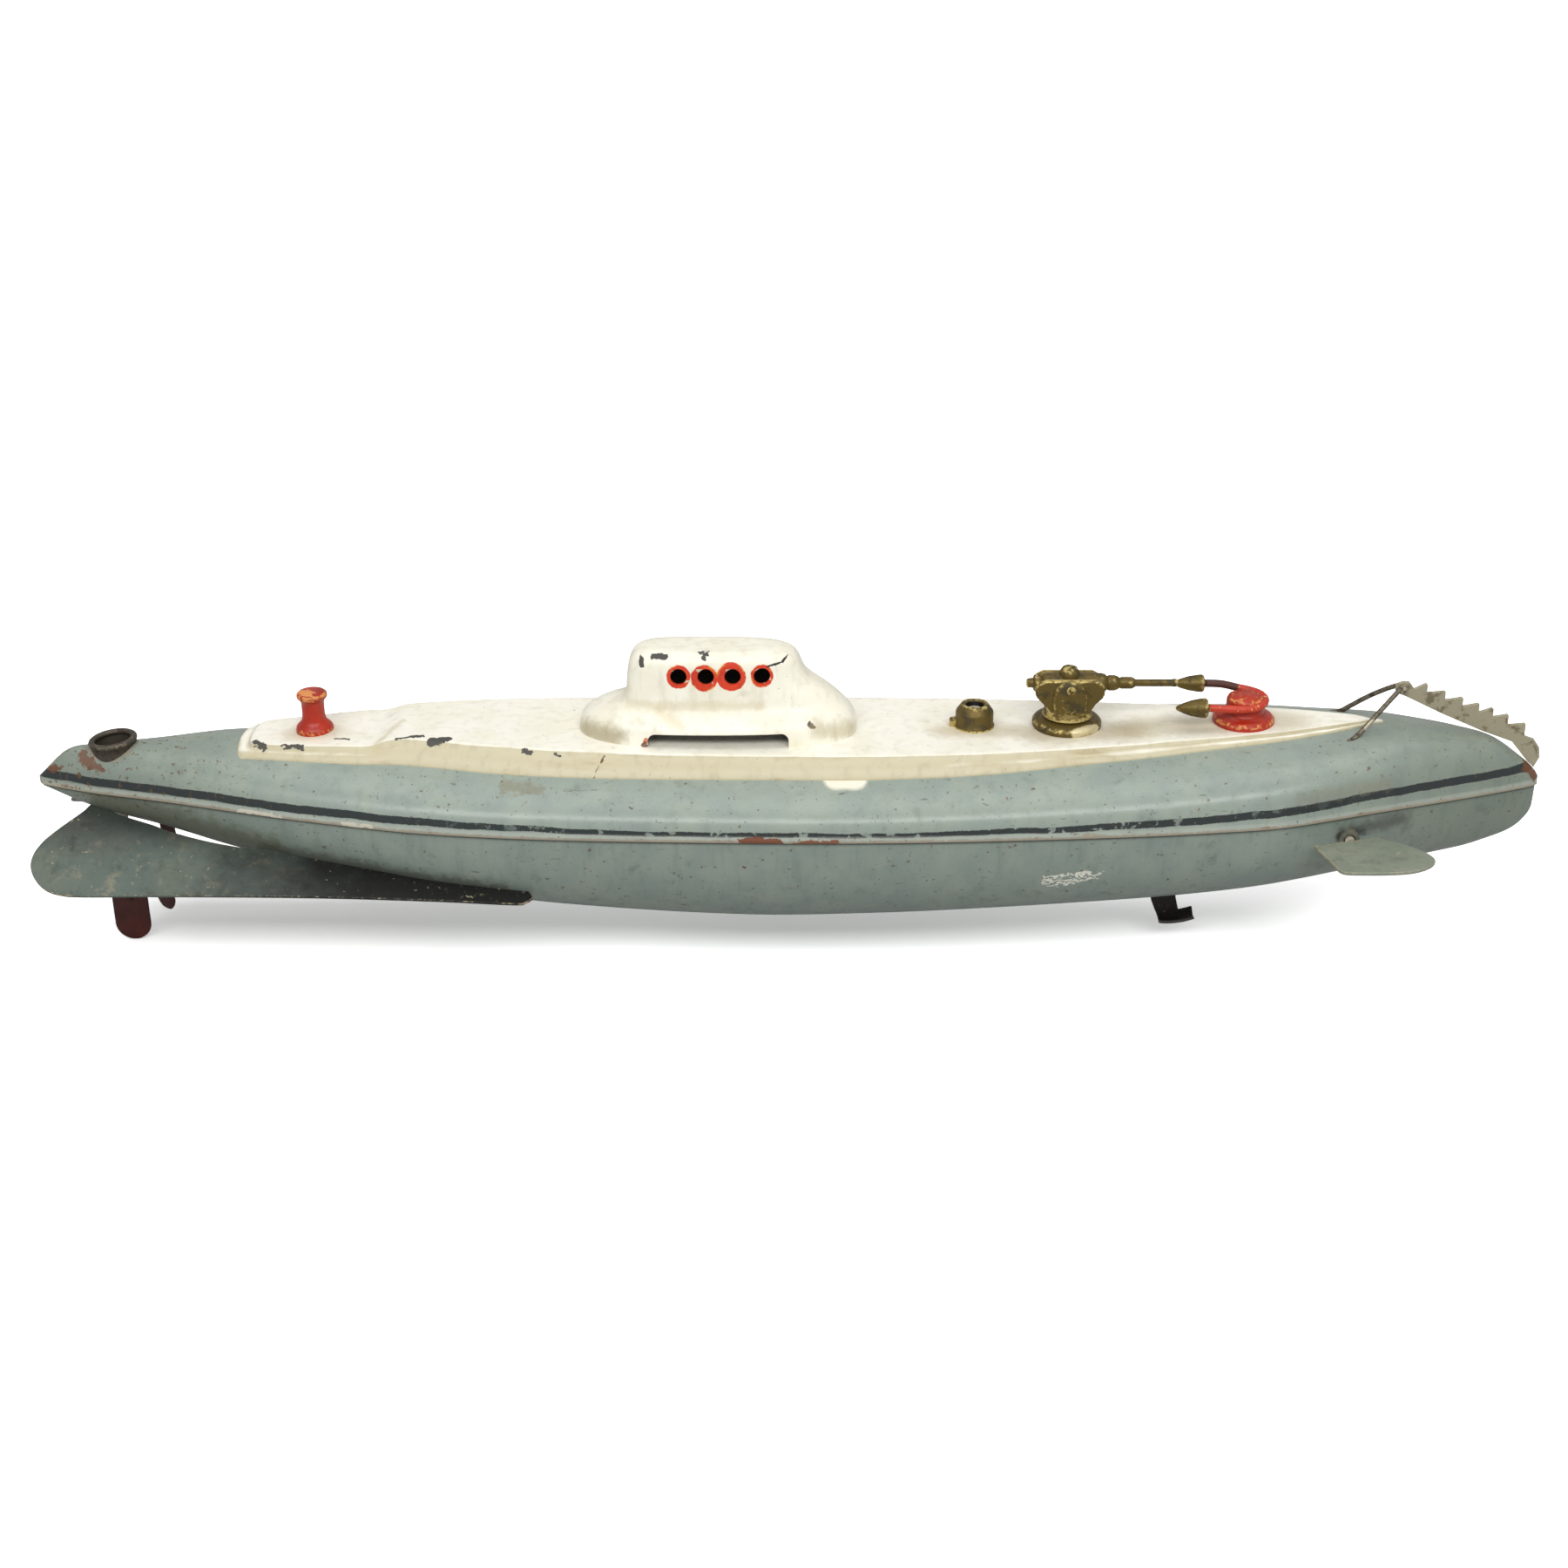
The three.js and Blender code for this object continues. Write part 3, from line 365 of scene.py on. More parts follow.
def plate(
    name: str, outline: list[Pair], thickness: float, matrix: Matrix, edge: float = 0.2, border: float = 0.0,
) -> bpy.types.Object:
    """Makes a flat plate with softened edges.

    Args:
        name: Name of the piece.
        outline: Corners in the plate's own plane, in millimetres.
        thickness: Thickness in millimetres, half to each side of the plane.
        matrix: Rotation and place, in millimetres, from the plate's plane to the hull's frame.
        edge: Width of the softened edge in millimetres.
        border: Width of the strip of faces kept along the outline, in millimetres.

    Returns:
        The new piece, with its stack live.
    """
    points = [matrix @ Vector((x, y, 0)) for x, y in outline]
    piece = mesh_piece(name, points, [list(range(len(points)))])
    if border:
        work = bmesh.new()
        work.from_mesh(piece.data)
        bmesh.ops.inset_region(work, faces=work.faces[:], thickness=border * MM, use_even_offset=True)
        work.to_mesh(piece.data)
        work.free()
    piece.data.polygons.foreach_set("use_smooth", [False])
    solidify(piece, thickness, 0.0)
    bevel(piece, edge, 3, 30)
    return piece


def tube(name: str, path: list[Triple], radius: float, swell: Callable[[float], float] | None = None) -> bpy.types.Object:
    """Makes a round wire or tube along a smooth path.

    Args:
        name: Name of the piece.
        path: Points in the hull's frame.
        radius: Radius in millimetres.
        swell: Factor on the radius at a share of the way along.

    Returns:
        The piece as a mesh.
    """
    curve = bpy.data.curves.new(name, "CURVE")
    curve.dimensions = "3D"
    curve.bevel_depth = radius * MM
    curve.bevel_resolution = 5
    curve.use_fill_caps = True
    spline = curve.splines.new("NURBS")
    spline.points.add(len(path) - 1)
    spline.use_endpoint_u = True
    spline.order_u = 3
    spline.resolution_u = 10
    for i, point in enumerate(path):
        spline.points[i].co = (*placed(point), 1.0)
        spline.points[i].radius = swell(i / (len(path) - 1)) if swell else 1.0
    holder = bpy.data.objects.new(name, curve)
    bpy.context.scene.collection.objects.link(holder)
    graph = bpy.context.evaluated_depsgraph_get()
    graph.update()
    mesh = bpy.data.meshes.new_from_object(holder.evaluated_get(graph))
    bpy.data.objects.remove(holder)
    bpy.data.curves.remove(curve)
    mesh.name = name
    piece = bpy.data.objects.new(name, mesh)
    bpy.context.scene.collection.objects.link(piece)
    tidy_mesh(piece, recalculate=True)
    mesh.polygons.foreach_set("use_smooth", [True] * len(mesh.polygons))
    return piece


def arc(centre: Pair, radius: float, start: float, end: float, steps: int = 8) -> list[Pair]:
    """Returns points on an arc, with its angles in degrees."""
    angles = [math.radians(start + (end - start) * i / steps) for i in range(steps + 1)]
    return [(centre[0] + radius * math.cos(a), centre[1] + radius * math.sin(a)) for a in angles]


FIN_SLOPE = math.radians(28)
FIN_EDGE = (0, -23.7, -16.8)  # a point on the starboard fin's lower edge, in the hull's frame
FIN_ROOT_DEPTH = 2.2  # how far a fin's root runs past the hull's skin
FIN_ROOT_LIMIT = 15.0
UPRIGHT = Matrix.Rotation(math.radians(90), 4, "X")
ALONG_X = Matrix.Rotation(math.radians(90), 4, "Y")
ALONG_Y = Matrix.Rotation(math.radians(-90), 4, "X")


# --- Node networks -----------------------------------------------------------------------------


def tint(red: int, green: int, blue: int) -> Colour:
    """Returns an 8-bit display colour as scene-linear values."""
    shares = (red / 255, green / 255, blue / 255)
    return tuple(s / 12.92 if s <= 0.04045 else ((s + 0.055) / 1.055) ** 2.4 for s in shares)


class Net:
    """Adds nodes to a node tree and links them as they are added."""

    def __init__(self, tree: bpy.types.NodeTree) -> None:
        """Keeps the tree.

        Args:
            tree: Tree that the nodes go in.
        """
        self.tree = tree

    def add(self, kind: str, inputs: dict | None = None, **settings: object) -> bpy.types.Node:
        """Adds a node.

        Args:
            kind: Type of the node.
            inputs: Socket names or numbers, each with a value, a colour or a socket to link from.
            **settings: Properties of the node.

        Returns:
            The new node.
        """
        node = self.tree.nodes.new(kind)
        for key, value in settings.items():
            setattr(node, key, value)
        for key, value in (inputs or {}).items():
            self.feed(node.inputs[key], value)
        return node

    def feed(self, socket: bpy.types.NodeSocket, value: object) -> None:
        """Sets a socket to a value, or links it."""
        if isinstance(value, bpy.types.NodeSocket):
            self.tree.links.new(value, socket)
        elif socket.type == "RGBA" and len(value) == 3:
            socket.default_value = (*value, 1.0)
        else:
            socket.default_value = value

    def group(self, tree: bpy.types.NodeTree, output: str = "Mask", **inputs: object) -> bpy.types.NodeSocket:
        """Uses a node group and returns one of its outputs."""
        node = self.add("ShaderNodeGroup", node_tree=tree)
        for key, value in inputs.items():
            self.feed(node.inputs[key], value)
        return node.outputs[output]

    def math(self, operation: str, a: object, b: object = 0.0, clamp: bool = False) -> bpy.types.NodeSocket:
        """Works out a sum of two values."""
        return self.add("ShaderNodeMath", {0: a, 1: b}, operation=operation, use_clamp=clamp).outputs[0]

    def vector(self, operation: str, a: object, b: object = (0, 0, 0), output: int = 0) -> bpy.types.NodeSocket:
        """Works out a sum of two vectors."""
        return self.add("ShaderNodeVectorMath", {0: a, 1: b}, operation=operation).outputs[output]

    def mix(self, share: object, a: object, b: object, blend: str = "MIX") -> bpy.types.NodeSocket:
        """Mixes two colours."""
        node = self.add("ShaderNodeMix", {0: share, 6: a, 7: b}, data_type="RGBA", blend_type=blend)
        return node.outputs[2]

    def blend_values(self, share: object, a: object, b: object) -> bpy.types.NodeSocket:
        """Mixes two values."""
        return self.add("ShaderNodeMix", {0: share, 2: a, 3: b}, data_type="FLOAT").outputs[0]

    def ramp(self, value: object, low: float, high: float, bottom: float = 0.0, top: float = 1.0) -> bpy.types.NodeSocket:
        """Eases a value from bottom to top as it goes from low to high."""
        inputs = {0: value, 1: low, 2: high, 3: bottom, 4: top}
        return self.add("ShaderNodeMapRange", inputs, interpolation_type="SMOOTHSTEP").outputs[0]

    def noise(self, vector: object, scale: float, detail: float = 4, roughness: float = 0.55) -> bpy.types.NodeSocket:
        """Adds fractal noise and returns its factor."""
        inputs = {"Vector": vector, "Scale": scale, "Detail": detail, "Roughness": roughness}
        return self.add("ShaderNodeTexNoise", inputs).outputs[0]

    def axes(self, vector: object) -> tuple[bpy.types.NodeSocket, ...]:
        """Splits a vector into x, y and z."""
        return tuple(self.add("ShaderNodeSeparateXYZ", {0: vector}).outputs)


def make_group(name: str, takes: dict, output: str, kind: str, build: Callable) -> bpy.types.NodeTree:
    """Makes a node group with one output.

    Args:
        name: Name of the group.
        takes: Input names, each with its socket type and first value.
        output: Name of the output.
        kind: Socket type of the output.
        build: Takes a Net and the input sockets by name, and returns the socket that feeds the output.

    Returns:
        The new group.
    """
    tree = bpy.data.node_groups.new(name, "ShaderNodeTree")
    for key, (socket_type, value) in takes.items():
        socket = tree.interface.new_socket(key, in_out="INPUT", socket_type=socket_type)
        if value is not None:
            socket.default_value = value
    tree.interface.new_socket(output, in_out="OUTPUT", socket_type=kind)
    net = Net(tree)
    entry = net.add("NodeGroupInput")
    result = build(net, {key: entry.outputs[key] for key in takes})
    net.add("NodeGroupOutput", {output: result})
    return tree


FLOAT, VECTOR = "NodeSocketFloat", "NodeSocketVector"


def build_millimetres(net: Net, _: dict) -> bpy.types.NodeSocket:
    """Turns object coordinates into the hull frame's millimetres."""
    spot = net.add("ShaderNodeTexCoord").outputs["Object"]
    centred = net.vector("SUBTRACT", spot, (0, 0, SEAM_Z))
    return net.vector("MULTIPLY", centred, (1 / MM, 1 / MM, 1 / MM))


def build_patches(net: Net, takes: dict) -> bpy.types.NodeSocket:
    """Makes ragged patches that cover a share of a surface."""
    cloud = net.add("ShaderNodeTexNoise", {"Vector": takes["Vector"], "Scale": takes["Scale"], "Detail": 7.0,
                                           "Roughness": 0.62, "Distortion": 0.3}).outputs[0]
    level = net.math("SUBTRACT", 0.72, net.math("MULTIPLY", takes["Cover"], 0.44))
    high = net.math("ADD", level, takes["Soft"])
    return net.add("ShaderNodeMapRange", {0: cloud, 1: level, 2: high}, interpolation_type="SMOOTHSTEP").outputs[0]


def build_edges(net: Net, takes: dict) -> bpy.types.NodeSocket:
    """Finds standing edges, broken up by noise."""
    sharp = net.add("ShaderNodeNewGeometry").outputs["Pointiness"]
    cloud = net.noise(takes["Vector"], 1.1, 5, 0.6)
    gain = net.math("ADD", net.math("MULTIPLY", net.math("SUBTRACT", cloud, 0.5), takes["Break"]), 1.0)
    lifted = net.math("ADD", net.math("MULTIPLY", net.math("SUBTRACT", sharp, 0.5), gain), 0.5)
    high = net.math("ADD", takes["Level"], 0.03)
    return net.add("ShaderNodeMapRange", {0: lifted, 1: takes["Level"], 2: high}, interpolation_type="SMOOTHSTEP").outputs[0]


def build_hollows(net: Net, takes: dict) -> bpy.types.NodeSocket:
    """Finds inner corners, softened by noise, where the finishes darken the colour."""
    sharp = net.add("ShaderNodeNewGeometry").outputs["Pointiness"]
    cloud = net.noise(takes["Vector"], 0.5, 5, 0.6)
    gain = net.math("ADD", net.math("MULTIPLY", net.math("SUBTRACT", cloud, 0.5), 3.0), 1.0)
    sunk = net.math("MULTIPLY", net.math("SUBTRACT", 0.5, sharp), gain)
    return net.ramp(sunk, 0.01, 0.08)


def build_stroke(net: Net, takes: dict) -> bpy.types.NodeSocket:
    """Makes a ragged mark around a line between two points."""
    weigh = takes["Flatten"]
    cloud = net.add("ShaderNodeTexNoise", {"Vector": takes["Vector"], "Scale": 0.5, "Detail": 6.0, "Roughness": 0.66})
    drift = net.vector("SUBTRACT", cloud.outputs[1], (0.5, 0.5, 0.5))
    shift = net.add("ShaderNodeVectorMath", {0: drift, "Scale": net.math("MULTIPLY", takes["Rough"], 3.2)}, operation="SCALE")
    near = net.vector("ADD", takes["Vector"], shift.outputs[0])
    spot, start, end = (net.vector("MULTIPLY", value, weigh) for value in (near, takes["From"], takes["To"]))
    reach = net.vector("SUBTRACT", spot, start)
    line = net.vector("SUBTRACT", end, start)
    along = net.vector("DOT_PRODUCT", reach, line, output=1)
    length = net.math("MAXIMUM", net.vector("DOT_PRODUCT", line, line, output=1), 0.0001)
    share = net.math("DIVIDE", along, length, clamp=True)
    foot = net.add("ShaderNodeVectorMath", {0: line, "Scale": share}, operation="SCALE").outputs[0]
    distance = net.vector("DISTANCE", reach, foot, output=1)
    edge = net.math("DIVIDE", distance, takes["Radius"])
    return net.ramp(edge, net.math("ADD", 1.0, takes["Soft"]), net.math("SUBTRACT", 1.0, takes["Soft"]))


def build_streaks(net: Net, takes: dict) -> bpy.types.NodeSocket:
    """Makes faint smears that run down a surface."""
    stretched = net.vector("MULTIPLY", takes["Vector"], (0.45, 0.45, 0.07))
    return net.ramp(net.noise(stretched, 1.0, 5, 0.6), 0.48, 0.72)


@dataclass(frozen=True)
class Effects:
    """Node groups that the materials share."""

    millimetres: bpy.types.NodeTree
    patches: bpy.types.NodeTree
    edges: bpy.types.NodeTree
    hollows: bpy.types.NodeTree
    stroke: bpy.types.NodeTree
    streaks: bpy.types.NodeTree

    @classmethod
    def make(cls) -> "Effects":
        """Makes the groups in the file."""
        place = {"Vector": (VECTOR, None)}
        stroke = {
            **place, "From": (VECTOR, None), "To": (VECTOR, None), "Flatten": (VECTOR, (1, 1, 1)),
            "Radius": (FLOAT, 1.0), "Rough": (FLOAT, 0.5), "Soft": (FLOAT, 0.08),
        }
        return cls(
            make_group("hull_millimetres", {}, "Vector", VECTOR, build_millimetres),
            make_group("ragged_patches", {**place, "Scale": (FLOAT, 0.3), "Cover": (FLOAT, 0.4),
                                          "Soft": (FLOAT, 0.04)}, "Mask", FLOAT, build_patches),
            make_group("rubbed_edges", {**place, "Level": (FLOAT, 0.53), "Break": (FLOAT, 3.0)},
                       "Mask", FLOAT, build_edges),
            make_group("darkened_hollows", place, "Mask", FLOAT, build_hollows),
            make_group("ragged_stroke", stroke, "Mask", FLOAT, build_stroke),
            make_group("run_marks", place, "Mask", FLOAT, build_streaks),
        )


EFFECTS = Effects.make()


# --- Finishes ----------------------------------------------------------------------------------


class Slot(Enum):
    """Material slots of the record."""

    HULL = "hull_paint"
    UPPER = "upper_paint"
    CREAM = "deck_cream"
    RED = "signal_red"
    DEEP_RED = "deep_red"
    GOLD = "old_gold"
    STEEL = "bare_steel"
    BLACKED = "blacked_steel"
    DARK = "dark_rubbed"
    BRASS = "clock_brass"
    LEAD = "lead"


class Tone(Enum):
    """Colours that more than one finish uses."""

    RUST = tint(104, 62, 34)
    RUST_LIGHT = tint(176, 112, 62)
    BARE_TIN = tint(150, 140, 122)
    DARK_GREY = tint(74, 72, 66)
    LINE = tint(30, 37, 40)
    CREAM = tint(238, 233, 214)
    SOOT = tint(42, 38, 33)


@dataclass(frozen=True)
class Stroke:
    """A mark on the paint along a short line, in the hull's frame."""

    start: Triple
    end: Triple
    radius: float
    colour: Colour
    rough: float = 0.8
    flatten: Triple = (1, 0.1, 1)
    strength: float = 1.0
    soft: float = 0.1


@dataclass(frozen=True)
class Enamel:
    """Old enamel on sheet steel, with grime, chips and rubbed edges."""

    name: str
    base: Colour
    shade: Colour
    under: Colour = Tone.BARE_TIN.value
    grime: Colour = tint(120, 100, 62)
    grime_cover: float = 0.3
    grime_strength: float = 0.5
    chips: float = 0.08
    chip_scale: float = 0.9
    edge_level: float = 0.56
    edge_colour: Colour = Tone.BARE_TIN.value
    edge_break: float = 3.4
    roughness: float = 0.4
    bump: float = 0.25
    strokes: tuple[Stroke, ...] = ()

    def decorate(self, net: Net, spot: bpy.types.NodeSocket, colour: bpy.types.NodeSocket) -> bpy.types.NodeSocket:
        """Paints what is particular to a finish over its base colour."""
        return colour

    def build(self) -> bpy.types.Material:
        """Makes the material."""
        look = bpy.data.materials.new(self.name)
        look.use_nodes = True
        look.node_tree.nodes.clear()
        net = Net(look.node_tree)
        spot = net.group(EFFECTS.millimetres, "Vector")
        mottle = net.ramp(net.noise(spot, 0.11, 6, 0.6), 0.35, 0.68)
        colour = net.mix(mottle, self.base, self.shade)
        colour = self.decorate(net, spot, colour)
        dirt = net.group(EFFECTS.patches, Vector=spot, Scale=0.16, Cover=self.grime_cover, Soft=0.22)
        runs = net.math("MULTIPLY", net.group(EFFECTS.streaks, Vector=spot), 0.35)
        # Dirt patches, run marks and a darkening of inner corners all take the grime colour.
        hollow = net.group(EFFECTS.hollows, Vector=spot)
        dirt = net.math("MAXIMUM", net.math("MAXIMUM", dirt, runs), hollow)
        colour = net.mix(net.math("MULTIPLY", dirt, self.grime_strength), colour, self.grime, "MULTIPLY")
        bare = net.group(EFFECTS.patches, Vector=spot, Scale=self.chip_scale, Cover=self.chips, Soft=0.015)
        rubbed = net.group(EFFECTS.edges, Vector=spot, Level=self.edge_level, Break=self.edge_break)
        colour = net.mix(bare, colour, self.under)
        colour = net.mix(net.math("MULTIPLY", rubbed, 0.85), colour, self.edge_colour)
        lost = net.math("MAXIMUM", bare, rubbed)
        for stroke in self.strokes:
            mask = net.group(EFFECTS.stroke, Vector=spot, From=stroke.start, To=stroke.end, Radius=stroke.radius,
                             Rough=stroke.rough, Flatten=stroke.flatten, Soft=stroke.soft)
            colour = net.mix(net.math("MULTIPLY", mask, stroke.strength), colour, stroke.colour)
            lost = net.math("MAXIMUM", lost, net.math("MULTIPLY", mask, stroke.strength))
        peel = net.noise(spot, 0.55, 3, 0.5)
        grain = net.noise(spot, 4.5, 4, 0.6)
        height = net.math("ADD", net.math("MULTIPLY", peel, 0.5), net.math("MULTIPLY", grain, 0.06))
        height = net.math("SUBTRACT", height, net.math("MULTIPLY", lost, 0.18))
        bump = net.add("ShaderNodeBump", {"Strength": self.bump, "Distance": 0.0004, "Height": height})
        rough = net.math("ADD", net.math("MULTIPLY", grain, 0.18), self.roughness - 0.08)
        rough = net.math("ADD", rough, net.math("MULTIPLY", net.math("MAXIMUM", dirt, lost), 0.18), clamp=True)
        surface = net.add("ShaderNodeBsdfPrincipled", {"Base Color": colour, "Roughness": rough,
                                                       "Normal": bump.outputs[0], "Specular IOR Level": 0.42})
        net.add("ShaderNodeOutputMaterial", {0: surface.outputs[0]})
        return look


@dataclass(frozen=True)
class HullEnamel(Enamel):
    """Grey hull enamel with a dark line painted along the seam, and a rusted lip."""

    lined: bool = False

    def decorate(self, net: Net, spot: bpy.types.NodeSocket, colour: bpy.types.NodeSocket) -> bpy.types.NodeSocket:
        """Adds the pale band, which is partly a painted highlight, the dark line and the rust along the lip, and on the
        lower shell a painted shadow under the lip.
        """
        x, _, z = net.axes(spot)
        wander = net.math("MULTIPLY", net.math("SUBTRACT", net.noise(net.vector("MULTIPLY", spot, (1, 1, 0.2)), 0.09, 3), 0.5), 1.0)
        fray = net.math("MULTIPLY", net.math("SUBTRACT", net.noise(spot, 1.3, 5, 0.6), 0.5), 0.45)
        ends = net.ramp(net.math("ADD", net.math("ABSOLUTE", x), net.math("MULTIPLY", wander, 24)), 92, 158)
        colour = net.mix(net.math("MULTIPLY", ends, 0.42), colour, tint(92, 98, 80))
        if self.lined:
            rise = net.ramp(x, 60, 150, 0.0, 1.9)
            sag = net.ramp(net.math("ABSOLUTE", net.math("SUBTRACT", x, 2)), 90, 15, 0.0, 0.9)
            rise = net.math("SUBTRACT", rise, sag)
            height = net.math("SUBTRACT", net.math("ADD", z, wander), net.math("ADD", rise, 2.55))
            width = net.math("ADD", net.math("MULTIPLY", net.ramp(net.math("ABSOLUTE", x), 20, 110), 0.42), 0.5)
            reach = net.math("ADD", net.math("ABSOLUTE", height), fray)
            line = net.ramp(net.math("SUBTRACT", reach, width), 0.12, -0.06)
            worn = net.group(EFFECTS.patches, Vector=spot, Scale=0.35, Cover=0.36, Soft=0.03)
            thin = net.math("MULTIPLY", worn, net.ramp(net.math("ABSOLUTE", net.math("SUBTRACT", x, 20)), 110, 40))
            line = net.math("MULTIPLY", line, net.math("SUBTRACT", 1.0, net.math("MULTIPLY", thin, 0.8)))
            colour = net.mix(net.math("MULTIPLY", line, 0.95), colour, Tone.LINE.value)
            # A pale band under the dark line, partly a painted highlight along the lip.
            under = net.ramp(net.math("ADD", z, fray), 1.6, 1.1)
            colour = net.mix(net.math("MULTIPLY", under, 0.4), colour, tint(176, 178, 168))
        lip = net.ramp(net.math("ADD", net.math("ABSOLUTE", net.math("SUBTRACT", z, 0.2)), net.math("MULTIPLY", fray, 1.6)), 0.55, 0.25)
        broken = net.group(EFFECTS.patches, Vector=net.vector("MULTIPLY", spot, (1, 1, 2)), Scale=0.26, Cover=0.46, Soft=0.08)
        rust = net.mix(net.ramp(net.noise(spot, 0.8, 4), 0.4, 0.6), tint(122, 78, 46), tint(160, 150, 130))
        colour = net.mix(net.math("MULTIPLY", lip, net.math("MULTIPLY", broken, 0.85)), colour, rust)
        if not self.lined:
            # Painted shadow: a thin dark line just under the seam lip, on the lower shell.
            lip_shadow = net.ramp(net.math("ADD", net.math("ABSOLUTE", net.math("ADD", z, 0.45)), fray), 0.55, 0.2)
            colour = net.mix(net.math("MULTIPLY", lip_shadow, 0.6), colour, tint(62, 60, 50))
        specks = net.group(EFFECTS.patches, Vector=spot, Scale=0.85, Cover=net.ramp(x, -105, -150, 0.17, 0.3), Soft=0.02)
        nicks = net.group(EFFECTS.patches, Vector=net.vector("MULTIPLY", spot, (0.25, 1, 1.6)), Scale=0.8, Cover=0.13, Soft=0.02)
        colour = net.mix(net.math("MULTIPLY", specks, 0.85), colour, tint(96, 72, 48))
        return net.mix(net.math("MULTIPLY", nicks, 0.6), colour, tint(86, 80, 66))


@dataclass(frozen=True)
class FinEnamel(Enamel):
    """Hull enamel with painted shade, near black, towards the fins' roots and forward ends, where they lie under the
    hull.
    """

    def decorate(self, net: Net, spot: bpy.types.NodeSocket, colour: bpy.types.NodeSocket) -> bpy.types.NodeSocket:
        """Paints shade on the forward part and the root, and scuffs the aft part."""
        x, y, _ = net.axes(spot)
        cloud = net.math("MULTIPLY", net.math("SUBTRACT", net.noise(spot, 0.12, 5, 0.6), 0.5), 40)
        # Painted shade: near black towards the forward end and towards the root, where the fins lie under the hull.
        forward = net.ramp(net.math("ADD", x, cloud), -146, -92)
        root = net.ramp(net.math("SUBTRACT", net.math("ABSOLUTE", y), net.math("MULTIPLY", cloud, 0.15)), 18, 6)
        dark = net.math("MAXIMUM", forward, net.math("MULTIPLY", root, 0.7))
        worn = net.group(EFFECTS.patches, Vector=spot, Scale=0.3, Cover=0.42, Soft=0.2)
        colour = net.mix(net.math("MULTIPLY", worn, 0.55), colour, tint(152, 142, 116))
        return net.mix(net.math("MULTIPLY", dark, 0.98), colour, tint(11, 11, 9))


@dataclass(frozen=True)
class DeckEnamel(Enamel):
    """Cream enamel with painted shade, darker and yellower, on its sloping sides."""

    def decorate(self, net: Net, spot: bpy.types.NodeSocket, colour: bpy.types.NodeSocket) -> bpy.types.NodeSocket:
        """Paints shade on the sloping sides, the more the steeper they are, with darker smears over it."""
        # Painted shade: the sides, found by how far the normal turns from up, are darkened and yellowed; the smears go
        # only there.
        _, _, up = net.axes(net.add("ShaderNodeNewGeometry").outputs["Normal"])
        cloud = net.math("MULTIPLY", net.math("SUBTRACT", net.noise(net.vector("MULTIPLY", spot, (0.3, 1, 1)), 0.3, 5), 0.5), 0.5)
        side = net.ramp(net.math("ADD", up, cloud), 0.97, 0.7)
        colour = net.mix(net.math("MULTIPLY", side, 0.9), colour, tint(194, 184, 150))
        smears = net.group(EFFECTS.patches, Vector=net.vector("MULTIPLY", spot, (0.25, 1, 1)), Scale=0.22, Cover=0.44, Soft=0.2)
        return net.mix(net.math("MULTIPLY", net.math("MULTIPLY", smears, side), 0.6), colour, tint(168, 150, 106))


@dataclass(frozen=True)
class Ring:
    """A ring painted round a porthole."""

    x: float
    z: float
    radius: float


@dataclass(frozen=True)
class TowerEnamel(Enamel):
    """Cream enamel with red rings round the portholes."""

    rings: tuple[Ring, ...] = ()

    def decorate(self, net: Net, spot: bpy.types.NodeSocket, colour: bpy.types.NodeSocket) -> bpy.types.NodeSocket:
        """Adds the rings, with a yellower, rubbed edge."""
        x, _, z = net.axes(spot)
        fray = net.math("MULTIPLY", net.math("SUBTRACT", net.noise(spot, 0.7, 4, 0.6), 0.5), 0.75)
        nearest = None
        for ring in self.rings:
            across = net.math("SUBTRACT", x, ring.x)
            up = net.math("SUBTRACT", z, ring.z)
            far = net.math("SQRT", net.math("ADD", net.math("MULTIPLY", across, across), net.math("MULTIPLY", up, up)))
            gap = net.math("SUBTRACT", far, ring.radius)
            nearest = gap if nearest is None else net.math("MINIMUM", nearest, gap)
        edge = net.math("ADD", nearest, fray)
        mask = net.ramp(edge, 0.1, -0.1)
        rim = net.math("MULTIPLY", net.ramp(edge, -0.55, -0.05), net.ramp(net.noise(spot, 0.35, 3), 0.45, 0.62))
        red = net.mix(net.ramp(net.noise(spot, 0.5, 5), 0.3, 0.7), tint(222, 66, 32), tint(196, 52, 30))
        red = net.mix(net.math("MULTIPLY", rim, 0.8), red, tint(232, 150, 62))
        return net.mix(mask, colour, red)


